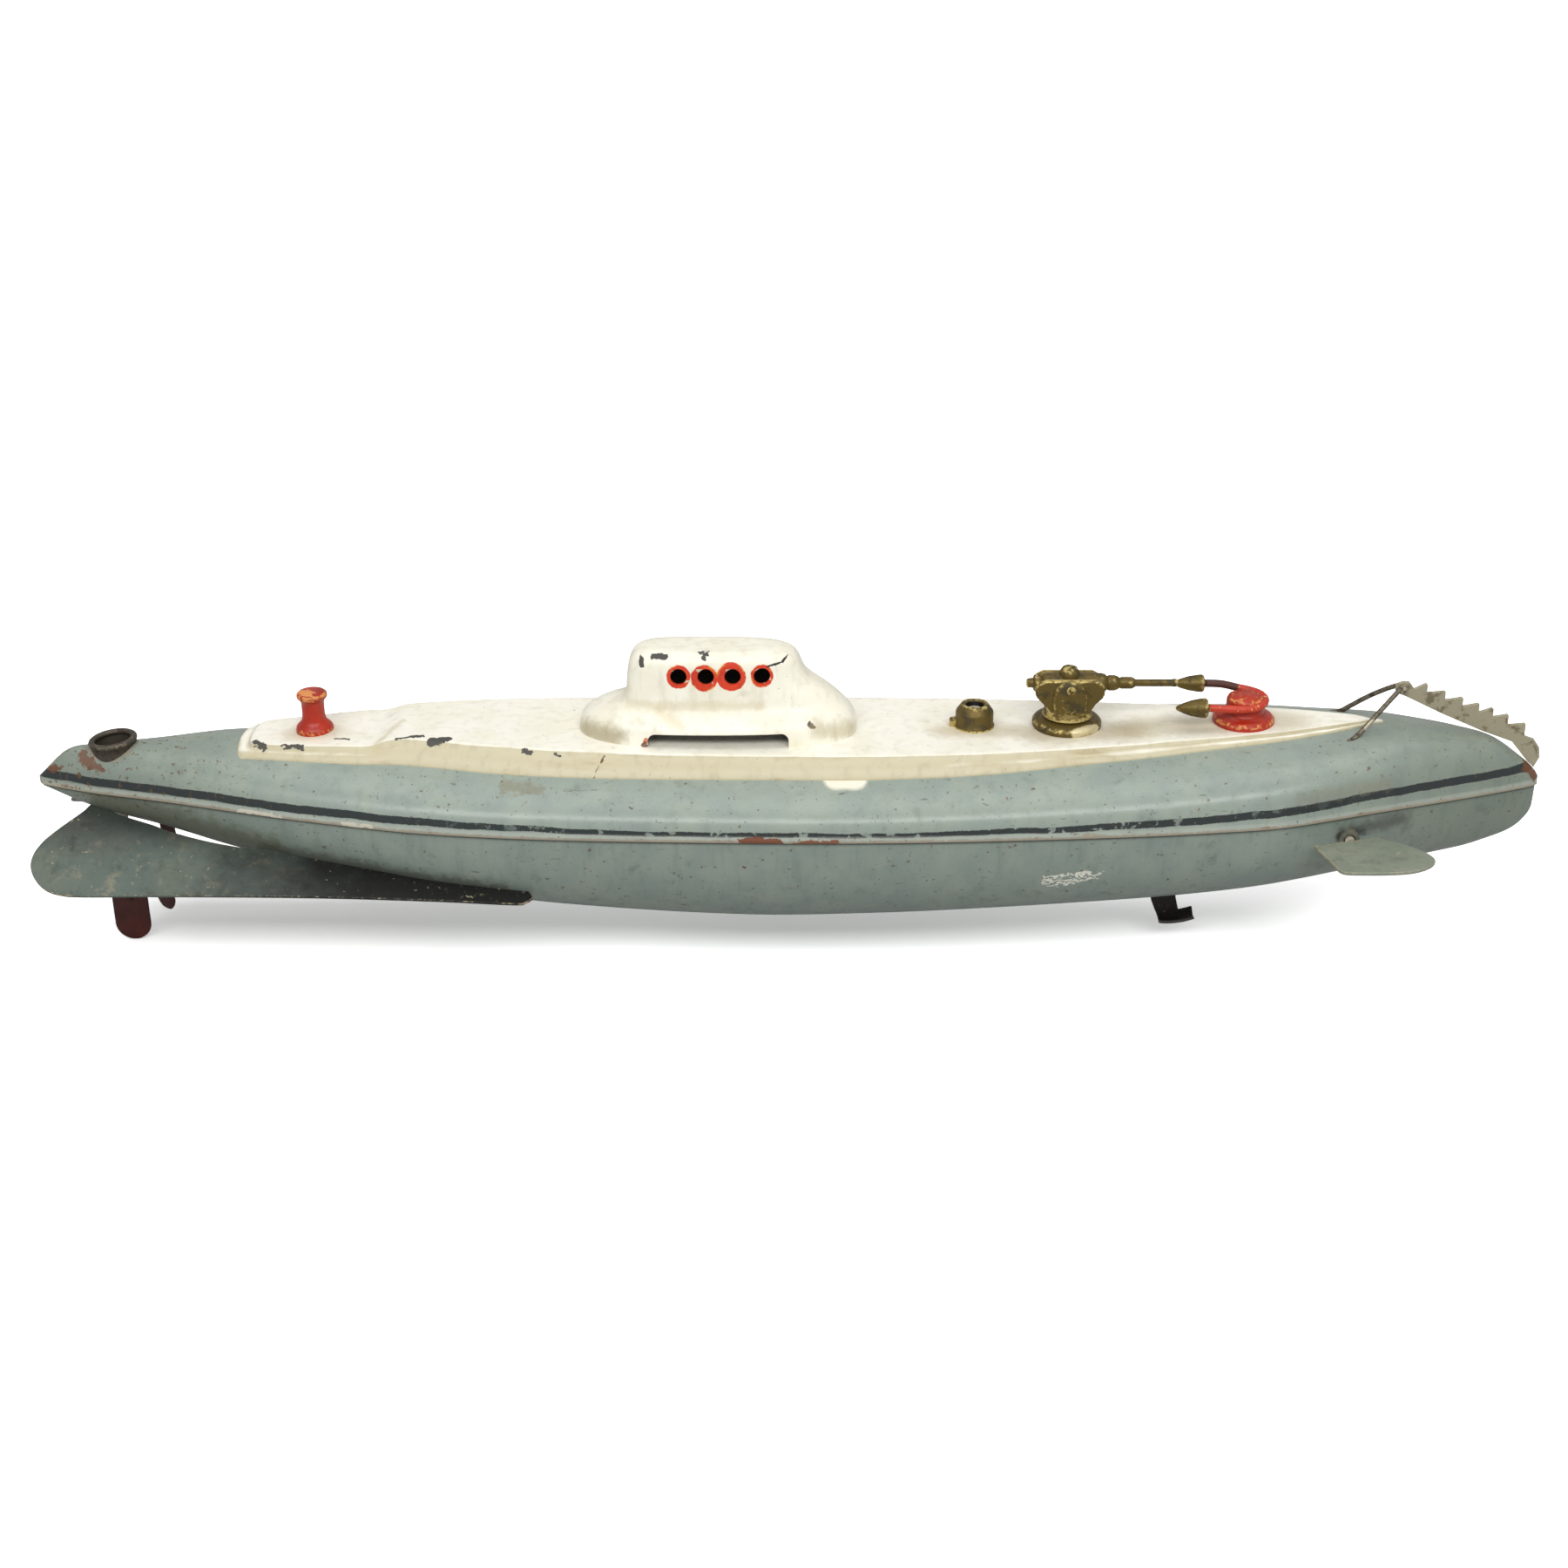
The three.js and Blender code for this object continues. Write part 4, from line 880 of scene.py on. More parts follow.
@dataclass(frozen=True)
class Metal:
    """Bare, lacquered or near-black metal with patches of tarnish and brighter edges."""

    name: str
    base: Colour
    tarnish: Colour
    edge: Colour
    metallic: float = 0.9
    roughness: float = 0.42
    cover: float = 0.45
    scale: float = 0.5
    edge_level: float = 0.54
    bump: float = 0.3
    strokes: tuple[Stroke, ...] = ()

    def build(self) -> bpy.types.Material:
        """Makes the material."""
        look = bpy.data.materials.new(self.name)
        look.use_nodes = True
        look.node_tree.nodes.clear()
        net = Net(look.node_tree)
        spot = net.group(EFFECTS.millimetres, "Vector")
        dull = net.group(EFFECTS.patches, Vector=spot, Scale=self.scale, Cover=self.cover, Soft=0.12)
        colour = net.mix(dull, self.base, self.tarnish)
        colour = net.mix(net.math("MULTIPLY", net.group(EFFECTS.hollows, Vector=spot), 0.7), colour, Tone.SOOT.value)
        rubbed = net.group(EFFECTS.edges, Vector=spot, Level=self.edge_level, Break=3.0)
        colour = net.mix(net.math("MULTIPLY", rubbed, 0.8), colour, self.edge)
        for stroke in self.strokes:
            mask = net.group(EFFECTS.stroke, Vector=spot, From=stroke.start, To=stroke.end, Radius=stroke.radius,
                             Rough=stroke.rough, Flatten=stroke.flatten, Soft=stroke.soft)
            colour = net.mix(net.math("MULTIPLY", mask, stroke.strength), colour, stroke.colour)
        grain = net.noise(spot, 2.4, 5, 0.6)
        bump = net.add("ShaderNodeBump", {"Strength": self.bump, "Distance": 0.0002, "Height": grain})
        rough = net.math("ADD", net.math("MULTIPLY", grain, 0.2), self.roughness - 0.1)
        rough = net.math("ADD", rough, net.math("MULTIPLY", dull, 0.2), clamp=True)
        metallic = net.math("MULTIPLY", net.math("SUBTRACT", 1.0, net.math("MULTIPLY", dull, 0.6)), self.metallic)
        surface = net.add("ShaderNodeBsdfPrincipled", {"Base Color": colour, "Roughness": rough, "Metallic": metallic,
                                                       "Normal": bump.outputs[0]})
        net.add("ShaderNodeOutputMaterial", {0: surface.outputs[0]})
        return look


def settle(piece: bpy.types.Object, look: bpy.types.Material, slot: Slot, body: str, *nodes: str) -> bpy.types.Object:
    """Gives a piece its material and its body, and hides the nodes that it stands for.

    Args:
        piece: The piece.
        look: Its material.
        slot: Material slot of the record; not used.
        body: Body that it moves with.
        *nodes: Nodes that it stands for.

    Returns:
        The same piece.
    """
    if not piece.data.materials:
        piece.data.materials.append(look)
    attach(piece, body)
    if nodes:
        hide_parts(*nodes)
    LOG.info("%s: %d faces", piece.name, len(piece.data.polygons))
    return piece


def round_cutter(radius: float, start: Triple, end: Triple, sides: int = 32) -> bpy.types.Object:
    """Makes a helper cylinder between two points."""
    a, b = placed(start), placed(end)
    work = bmesh.new()
    bmesh.ops.create_cone(
        work, cap_ends=True, segments=sides, radius1=radius * MM, radius2=radius * MM, depth=(b - a).length,
    )
    turn = Vector((0, 0, 1)).rotation_difference(b - a).to_matrix().to_4x4()
    bmesh.ops.transform(work, matrix=Matrix.Translation((a + b) / 2) @ turn, verts=work.verts)
    return helper("cutter", work)


def block_cutter(low: Triple, high: Triple) -> bpy.types.Object:
    """Makes a helper block between two corners."""
    a, b = placed(low), placed(high)
    work = bmesh.new()
    bmesh.ops.create_cube(work, size=1)
    bmesh.ops.scale(work, vec=b - a, verts=work.verts)
    bmesh.ops.translate(work, vec=(a + b) / 2, verts=work.verts)
    return helper("cutter", work)


def helper(name: str, work: bmesh.types.BMesh) -> bpy.types.Object:
    """Turns a work mesh into an object and frees it."""
    mesh = bpy.data.meshes.new(name)
    work.to_mesh(mesh)
    work.free()
    piece = bpy.data.objects.new(name, mesh)
    bpy.context.scene.collection.objects.link(piece)
    return piece


# --- Shells ------------------------------------------------------------------------------------


RING_X, RING_Z, RING_TILT = -147.5, 8.0, math.radians(-5)
RUDDER_X, BOLLARD_X, BUSH_X, GUN_X, GUN_AXIS = -149.0, -103.2, 40.4, 60.5, 23.6
ANCHOR_X, PLANE_X, PLANE_Z, EYE_X, EYE_Z = 98.9, 120.0, -5.2, 132.4, 22.4
PROPELLER, SHAFT_RISE = (-141.5, 0.0, -21.9), math.radians(5)
ON_SHAFT = Matrix.Rotation(-SHAFT_RISE, 4, "Y")


@dataclass(frozen=True)
class HullShells:
    """The two pressed shells that meet at the seam."""

    upper_look: bpy.types.Material
    lower_look: bpy.types.Material
    stations: int = 150

    def upper(self) -> None:
        """Makes the upper shell, with the holes for the stern ring and the winding key."""
        rings = []
        for x in LINES.stations(self.stations):
            half = LINES.upper_half(x)
            rings.append([(x, y, z) for y, z in half] + [(x, -y, z) for y, z in reversed(half[:-1])])
        piece = loft("upper_hull", rings, closed=False)
        solidify(piece, SHEET)
        axis = Matrix.Rotation(RING_TILT, 3, "Y") @ Vector((0, 0, 1))
        ring = Vector((RING_X, 0, RING_Z))
        cut(
            piece,
            round_cutter(4.6, ring - 7 * axis, ring + 5 * axis),
            round_cutter(2.3, (BUSH_X, 0, 5), (BUSH_X, 0, 16)),
        )
        bevel(piece, 0.12, 2, 50)
        settle(piece, self.upper_look, Slot.UPPER, "hull", "upper_hull_shell")

    def lower(self) -> None:
        """Makes the lower shell, with the slot for the stop lever."""
        rings = []
        for x in LINES.stations(self.stations, -164.4, 164.6):
            half = LINES.lower_half(x)
            rings.append([(x, -y, z) for y, z in half] + [(x, y, z) for y, z in reversed(half[:-1])])
        piece = loft("lower_hull", rings, closed=False)
        solidify(piece, SHEET)
        cut(
            piece,
            block_cutter((78.5, -0.9, -27), (89, 0.9, -18)),
            round_cutter(1.3, (RUDDER_X, 0, -12), (RUDDER_X, 0, 4)),
        )
        bevel(piece, 0.12, 2, 50)
        settle(piece, self.lower_look, Slot.HULL, "hull", "lower_hull_shell")


@dataclass(frozen=True)
class DeckTray:
    """The raised deck: a long pressed tray with sloping sides."""

    look: bpy.types.Material
    aft: float = -117.0
    fore: float = 127.0
    corner: float = 2.2
    top: FairLine = FairLine(
        (-117, 11.9), (-93, 13.1), (-89, 13.3), (-84, 14.7), (-65, 14.5), (-30, 13.7), (-6, 13.5),
        (20, 13.5), (41, 13.6), (62, 13.9), (93, 14.6), (107, 15), (122, 15.3), (127, 15.2),
    )
    half: FairLine = FairLine(
        (-117, 6.4), (-93, 10), (-84, 9.8), (-65, 12.8), (-49, 14.4), (-30, 15.3), (-6, 15.9),
        (17, 16), (41, 15), (62, 13), (77, 11), (93, 8.8), (107, 6.5), (122, 2.5), (127, 0.6),
    )
    foot: FairLine = FairLine(
        (-117, 8.5), (-93, 12.5), (-85, 13), (-75, 14.5), (-64, 16.5), (-49, 18), (-30, 18.8),
        (-6, 19), (17, 19), (41, 18), (62, 15.3), (77, 13.2), (93, 10.3), (107, 7.8), (122, 3.3),
        (127, 1),
    )

    def plan(self, width: Callable[[float], float], inset: float, count: int = 200) -> list[Pair]:
        """Returns one side of the tray's outline at a level, from aft to fore.

        Args:
            width: Half width along the tray.
            inset: How far both ends are moved in.
            count: Points along the side.
        """
        start, end = self.aft + inset, self.fore - inset
        points = []
        for i in range(count + 1):
            x = start + (end - start) * (0.5 - 0.5 * math.cos(math.pi * i / count)) ** 1.15
            t = min((x - start) / self.corner, 1.0)
            rounding = (1 - (1 - t) ** 2.6) ** (1 / 2.6)
            nose = min((end - x) / 3.0, 1.0)
            points.append((x, width(x) * rounding * math.sqrt(max(1 - (1 - nose) ** 2, 0.0))))
        return points

    def level(self, share: float, rise: float, inset: float, narrow: float = 1.0) -> list[Triple]:
        """Returns one closed loop round the tray.

        Args:
            share: 0 at the foot and 1 at the top's edge.
            rise: Height over the hull at the foot, or under the top at the edge.
            inset: How far both ends are moved in.
            narrow: Factor on the width, for the loops that cross the flat top.
        """

        def width(x: float) -> float:
            return (self.foot(x) * (1 - share) + self.half(x) * share) * narrow

        side = []
        for x, y in self.plan(width, inset):
            low = LINES.top_height(x, y) + (rise if share < 0.5 else 0.0)
            high = self.top(x) - (rise if share >= 0.5 else 0.0)
            weight = 0.0 if share < 0.25 else 1.0 if share > 0.75 else share
            side.append((x, y, low * (1 - weight) + high * weight))
        return side + [(x, -y, z) for x, y, z in reversed(side[1:-1])]

    def build(self) -> None:
        """Makes the tray."""
        levels = [
            self.level(0.0, -0.6, -2.6), self.level(0.0, 0.0, -2.5), self.level(0.04, 0.35, -2.2),
            self.level(0.5, 0.0, -1.1), self.level(0.92, 0.8, -0.2), self.level(0.985, 0.3, 0.0),
            self.level(1.0, 0.1, 0.2, 0.985), self.level(1.0, 0.02, 0.45, 0.96), self.level(1.0, 0.0, 1.0, 0.91),
            self.level(1.0, 0.0, 1.6, 0.7), self.level(1.0, 0.0, 2.0, 0.4), self.level(1.0, 0.0, 2.4, 0.0),
        ]
        piece = loft("deck_tray", levels, closed=True)
        tidy_mesh(piece, 2e-5, recalculate=True)
        cut(piece, round_cutter(2.3, (BUSH_X, 0, 5), (BUSH_X, 0, 18)))
        piece.data.polygons.foreach_set("use_smooth", [True] * len(piece.data.polygons))
        settle(piece, self.look, Slot.CREAM, "hull", "deck_superstructure")


@dataclass(frozen=True)
class ConningTower:
    """The pressed tower with its flared skirt, portholes and slot."""

    look: bpy.types.Material
    inside: bpy.types.Material
    portholes: tuple[float, ...] = (-23.4, -17.6, -11.9, -5.7)
    porthole_z: float = 28.0
    porthole_radius: float = 1.75
    sides: int = 96
    aft: FairLine = FairLine(
        (13, -45.4), (15, -45.3), (16.4, -44.8), (17.6, -43.6), (18.6, -41.8), (19.4, -39.8), (20.1, -37.6),
        (21, -35.9), (22.5, -35.1), (26, -34.8), (29, -34.3), (31, -33.4), (32, -32.1), (32.5, -30.2),
    )
    fore: FairLine = FairLine(
        (13, 14.9), (15, 14.8), (17, 14.2), (19, 12.9), (21, 11), (23, 8.6), (24.6, 6.2), (26, 4.4),
        (27.5, 3.3), (29, 2.7), (30.3, 2.1), (31.3, 1.2), (32, -0.2), (32.5, -2.4),
    )
    half: FairLine = FairLine(
        (13, 12.6), (15, 12.5), (16.5, 12.2), (17.8, 11.5), (18.8, 10.6), (19.6, 9.6), (20.4, 8.8),
        (21.5, 8.3), (23, 8), (25, 7.75), (28, 7.4), (30, 7.1), (31.3, 6.6), (32, 5.9), (32.5, 4.6),
    )
    levels: tuple[float, ...] = (
        13, 13.6, 14.2, 14.8, 15.4, 16, 16.8, 17.6, 18.4, 19.1, 19.7, 20.3, 20.9, 21.6, 22.3, 23.1, 24,
        25, 26, 27, 28, 29, 29.8, 30.5, 31, 31.4, 31.75, 32.05, 32.3, 32.45, 32.52,
    )

    def loop(self, z: float, narrow: float = 1.0) -> list[Triple]:
        """Returns one loop round the tower at a height."""
        aft, fore, half = self.aft(z), self.fore(z), self.half(z)
        middle = -16.0
        high = min(max((z - 16) / 8, 0.0), 1.0)
        points = []
        for i in range(self.sides):
            angle = 2 * math.pi * i / self.sides
            c, s = math.cos(angle), math.sin(angle)
            reach, power = (fore - middle, 2.5 + 0.2 * high) if c > 0 else (middle - aft, 2.7 + 2.3 * high)
            x = middle + reach * math.copysign(abs(c) ** (2 / power), c) * narrow
            y = half * math.copysign(abs(s) ** (2 / (2.7 + 0.5 * high)), s) * narrow
            points.append((x, y, z))
        return points

    def slot_cutter(self) -> bpy.types.Object:
        """Makes the helper that cuts the long slot through both sides of the skirt."""
        corner = 1.6
        points = [(-30, 10), (0, 10)]
        points += arc((0 - corner, 16.6 - corner), corner, 0, 90, 6)
        points += arc((-30 + corner, 16.6 - corner), corner, 90, 180, 6)
        rings = [[(x, y, z) for x, z in points] for y in (-20.0, 20.0)]
        cutter = loft("slot_cutter", rings, closed=True, caps=True)
        tidy_mesh(cutter, recalculate=True)
        return cutter

    def build(self) -> None:
        """Makes the tower, and its inside, made near black as painted shade seen through its openings."""
        loops = [self.loop(z) for z in self.levels]
        loops += [self.loop(32.52 + 0.02 * i, 1 - 0.22 * i) for i in range(1, 5)]
        piece = loft("tower", loops, closed=True, caps=True)
        bottom = max(piece.data.polygons, key=lambda p: len(p.vertices) * (1 - p.center.z))
        work = bmesh.new()
        work.from_mesh(piece.data)
        work.faces.ensure_lookup_table()
        bmesh.ops.delete(work, geom=[work.faces[bottom.index]], context="FACES_ONLY")
        bmesh.ops.recalc_face_normals(work, faces=work.faces)
        work.to_mesh(piece.data)
        work.free()
        piece.data.materials.append(self.look)
        piece.data.materials.append(self.inside)
        solidify(piece, SHEET, inner_slot=1)
        holes = [
            round_cutter(self.porthole_radius, (x, -15, self.porthole_z), (x, 15, self.porthole_z), 40)
            for x in self.portholes
        ]
        cut(piece, self.slot_cutter(), *holes)
        bevel(piece, 0.22, 3, 40)
        settle(piece, self.look, Slot.CREAM, "hull", "conning_tower")


# --- Deck fittings -----------------------------------------------------------------------------


@dataclass(frozen=True)
class DeckFittings:
    """Bollard, winding bush, anchor, net cutter and its stays."""

    red: bpy.types.Material
    arm: bpy.types.Material
    gold: bpy.types.Material
    steel: bpy.types.Material
    wire: bpy.types.Material

    def bollard(self) -> None:
        """Makes the stern bollard."""
        profile = [
            (0.02, 22), (2.3, 21.95), (2.9, 21.8), (3.25, 21.5), (3.3, 21.1), (3.25, 20.7), (2.9, 20.3), (2.55, 19.9),
            (2.45, 19.2), (2.45, 16.6), (2.6, 15.6), (2.95, 14.9), (3.5, 14.4), (3.9, 13.9), (4.05, 13.3), (4.05, 12),
            (3.9, 11.6),
        ]
        piece = turned("bollard_post", profile, (BOLLARD_X, 0, -0.3))
        settle(piece, self.red, Slot.RED, "hull", "bollard")

    def winding_bush(self) -> None:
        """Makes the bush that the key goes in, with its lug."""
        profile = [
            (1.85, 12), (1.85, 18.3), (2.1, 18.65), (2.5, 18.85), (2.9, 18.75), (3.5, 17.9), (4, 17.2), (4.12, 16.8),
            (4.12, 14.2), (4.4, 13.9), (4.4, 12),
        ]
        piece = turned("bush_body", profile, (BUSH_X, 0, 0), closed=True)
        lug = plate("bush_lug", [(-5.4, 13), (-3.4, 13), (-3.4, 15.3), (-4.4, 15.5), (-5.4, 15.2)], 1.6,
                    Matrix.Translation((BUSH_X, 0, 0)) @ UPRIGHT, 0.3)
        piece = joined("winding_bush_body", piece, lug)
        settle(piece, self.gold, Slot.GOLD, "hull", "winding_bush")

    def anchor(self) -> None:
        """Makes the anchor's base, the arm bent round its post, and its two flukes."""
        base = [
            (0.02, 20.9), (3, 20.8), (3.7, 20.4), (3.95, 19.8), (4.05, 17.4), (4.3, 16.8), (5.4, 16.4), (6.2, 16.1),
            (6.6, 15.6), (6.65, 15.1), (6.6, 13.6),
        ]
        settle(turned("anchor_disc", base, (ANCHOR_X, 0, 0)), self.red, Slot.RED, "hull", "anchor_base")
        path = [
            (-8.6, -4.5, 19.6), (-5.5, -4.7, 19.5), (-2, -4.8, 19.3), (1.2, -4.4, 19.3), (3.6, -2.6, 19.6), (4.5, 0, 19.8),
            (3.8, 2.6, 20), (1.6, 4.2, 20.2), (-1, 4.5, 20.6), (-3.2, 4.6, 21.2), (-5.4, 4.5, 21.6), (-8, 4.5, 21.6),
        ]
        arm = tube("anchor_arm", [(ANCHOR_X + x, y, z) for x, y, z in path], 0.85)
        settle(arm, self.arm, Slot.RED, "hull", "anchor_yoke")
        cone = [(0.02, 6.9), (0.5, 6.6), (1.15, 5.2), (1.75, 3.4), (2.1, 1.5), (2.2, 0.5), (1.9, 0.1), (0.8, -0.2), (0.02, -0.3)]
        aftward = Matrix.Rotation(math.radians(-90), 4, "Y")
        for name, y, z, x, size in (("starboard", -4.5, 19.6, -8.9, 1.0), ("port", 4.5, 21.6, -8.3, 0.9)):
            profile = [(r * size, h) for r, h in cone]
            piece = turned(f"fluke_{name}", profile, (ANCHOR_X + x, y, z), aftward)
            settle(piece, self.gold, Slot.GOLD, "hull", f"anchor_fluke_{name}")

    def net_cutter(self) -> None:
        """Makes the toothed strip from its eye down to the stem."""
        tips = [
            (137.7, 23.5), (141.8, 21.8), (145.8, 20.3), (149.5, 18.9), (152.7, 17.8), (156.2, 16.3), (160.2, 14.2),
        ]
        top = [(131.6, 23.5), (132.6, 24), (134, 23.9), (135.2, 22.3)]
        for (x, z), (_, after) in zip(tips, tips[1:] + [(163.2, 11.6)]):
            top += [(x - 0.35, z - 0.1), (x, z), (x + 0.3, z - 0.25), (x + 0.35, min(z - 2.1, after - 0.4))]
        outline = [
            (151, 12.4), (142, 16.4), (133.4, 20.6), (131.6, 21.3), (131, 22.2), *top, (162.8, 10.4), (164.2, 8.4),
            (164.6, 6), (163.6, 3.6), (161.9, 5.2), (158, 9.8),
        ]
        piece = plate("cutter_strip", outline, SHEET, UPRIGHT, 0.12)
        cut(piece, round_cutter(0.55, (EYE_X, -3, EYE_Z), (EYE_X, 3, EYE_Z), 16))
        settle(piece, self.steel, Slot.STEEL, "hull", "net_cutter")

    def stays(self) -> None:
        """Makes the two wire stays and the pin in the cutter's eye."""
        for side, name in ((-1, "starboard"), (1, "port")):
            path = [
                (119.6, 8.3, 13), (120.8, 7.7, 13.4), (122, 7, 14), (123.4, 6.4, 15.3), (127, 4.5, 18.7),
                (130.5, 2.2, 21.6), (131.9, 1.1, 22.6),
            ]
            points = [(x, side * y, z) for x, y, z in path]
            wire = tube(f"stay_wire_{name}", points, 0.55)
            settle(wire, self.wire, Slot.STEEL, "hull", f"cutter_stay_{name}")
        pin = [(0.02, 1.7), (0.6, 1.65), (0.85, 1.4), (0.85, 1.1), (0.5, 1), (0.5, -1), (0.85, -1.1), (0.85, -1.4), (0.6, -1.65), (0.02, -1.7)]
        piece = turned("eye_pin", pin, (EYE_X, 0, EYE_Z), ALONG_Y, 20)
        settle(piece, self.wire, Slot.STEEL, "hull", "cutter_pin")


@dataclass(frozen=True)
class Gun:
    """The deck gun: base disc, swivelling mount and elevating barrel."""

    gold: bpy.types.Material

    def base(self) -> None:
        """Makes the domed disc, with the hole for the rivet that the mount turns on."""
        profile = [
            (1.5, 12.5), (1.5, 16.2), (4.6, 16.2), (5.2, 15.9), (6.2, 15.75), (7.1, 15.4), (7.5, 14.9), (7.5, 14.2),
            (7.3, 13), (7.2, 12.5),
        ]
        piece = turned("gun_disc", profile, (GUN_X, 0, 0), closed=True, steps=56)
        settle(piece, self.gold, Slot.GOLD, "hull", "gun_base")

    def mount(self) -> None:
        """Makes the pedestal with its two cheeks."""
        pedestal = [
            (-4.7, 16.5), (4.7, 16.5), (4.7, 18.2), (5.6, 19.8), (7.1, 21.2), (7.5, 22), (7.5, 23.6), (6.9, 24.6),
            (5.4, 25.4), (-5.4, 25.4), (-6.9, 24.6), (-7.5, 23.6), (-7.5, 22), (-7, 21.2), (-5.6, 19.8), (-4.7, 18.2),
        ]
        cheek = [(-3.3, 17.4), (3.3, 17.4), (3.6, 20)]
        cheek += arc((0, 21.8), 3.6, 0, 180, 12) + [(-3.6, 20)]
        stand = Matrix.Translation((GUN_X, 0, 0)) @ UPRIGHT
        slot = ((GUN_X - 10, -2.5, 19.9), (GUN_X + 10, 2.5, 30))
        parts = []
        for outline, thickness, edge in ((pedestal, 7.0, 0.6), (cheek, 9.2, 0.7)):
            half = plate("gun_cheek", outline, thickness, stand, edge)
            apply_stack(half)
            cut(half, block_cutter(*slot))
            parts.append(half)
        skirt = turned("gun_skirt", [(4.2, 18.4), (4.9, 17.6), (5.3, 16.9), (5.4, 16.4), (1.6, 16.4)], (GUN_X, 0, 0))
        piece = joined("gun_pedestal", *parts, skirt)
        shade(piece, 40)
        settle(piece, self.gold, Slot.GOLD, "gun_carriage", "gun_mount")

    def barrel(self) -> None:
        """Makes the stepped barrel with its boss, and the trunnion pin."""
        profile = [
            (0.02, 23.6), (0.55, 23.55), (0.85, 23.3), (0.9, 22.8), (0.8, 22), (0.8, 14.4), (1.05, 14), (1.3, 13.6), (1.3, 11.3),
            (1.15, 10.9), (1.5, 10.4), (1.7, 9.8), (1.7, 8.6), (1.5, 8.2), (1.9, 7.8), (2.15, 7.2), (2.2, 2), (2.2, -4.6),
            (2.05, -5.4), (1.6, -5.9), (1.9, -6.3), (2, -7.1), (1.7, -7.6), (1.1, -7.8), (1, -8.9), (0.8, -9.15), (0.02, -9.2),
        ]
        tube_piece = turned("gun_tube_body", profile, (GUN_X, 0, GUN_AXIS), ALONG_X, 32)
        boss = turned("gun_boss", [(0.02, 3.9), (1.1, 3.85), (1.6, 3.6), (2, 3), (2.2, 2.3), (2.3, 0.8), (2.3, -0.5)],
                      (GUN_X, 0, GUN_AXIS), None, 28)
        piece = joined("gun_barrel_body", tube_piece, boss)
        settle(piece, self.gold, Slot.GOLD, "gun_tube", "gun_barrel")
        pin = [(0.02, 4.72), (0.8, 4.7), (0.95, 4.6), (0.95, -4.6), (0.8, -4.7), (0.02, -4.72)]
        piece = turned("trunnion_pin", pin, (GUN_X, 0, GUN_AXIS), ALONG_Y, 24)
        settle(piece, self.gold, Slot.BRASS, "gun_carriage", "gun_trunnion_pin")


# --- Stern gear and planes ---------------------------------------------------------------------


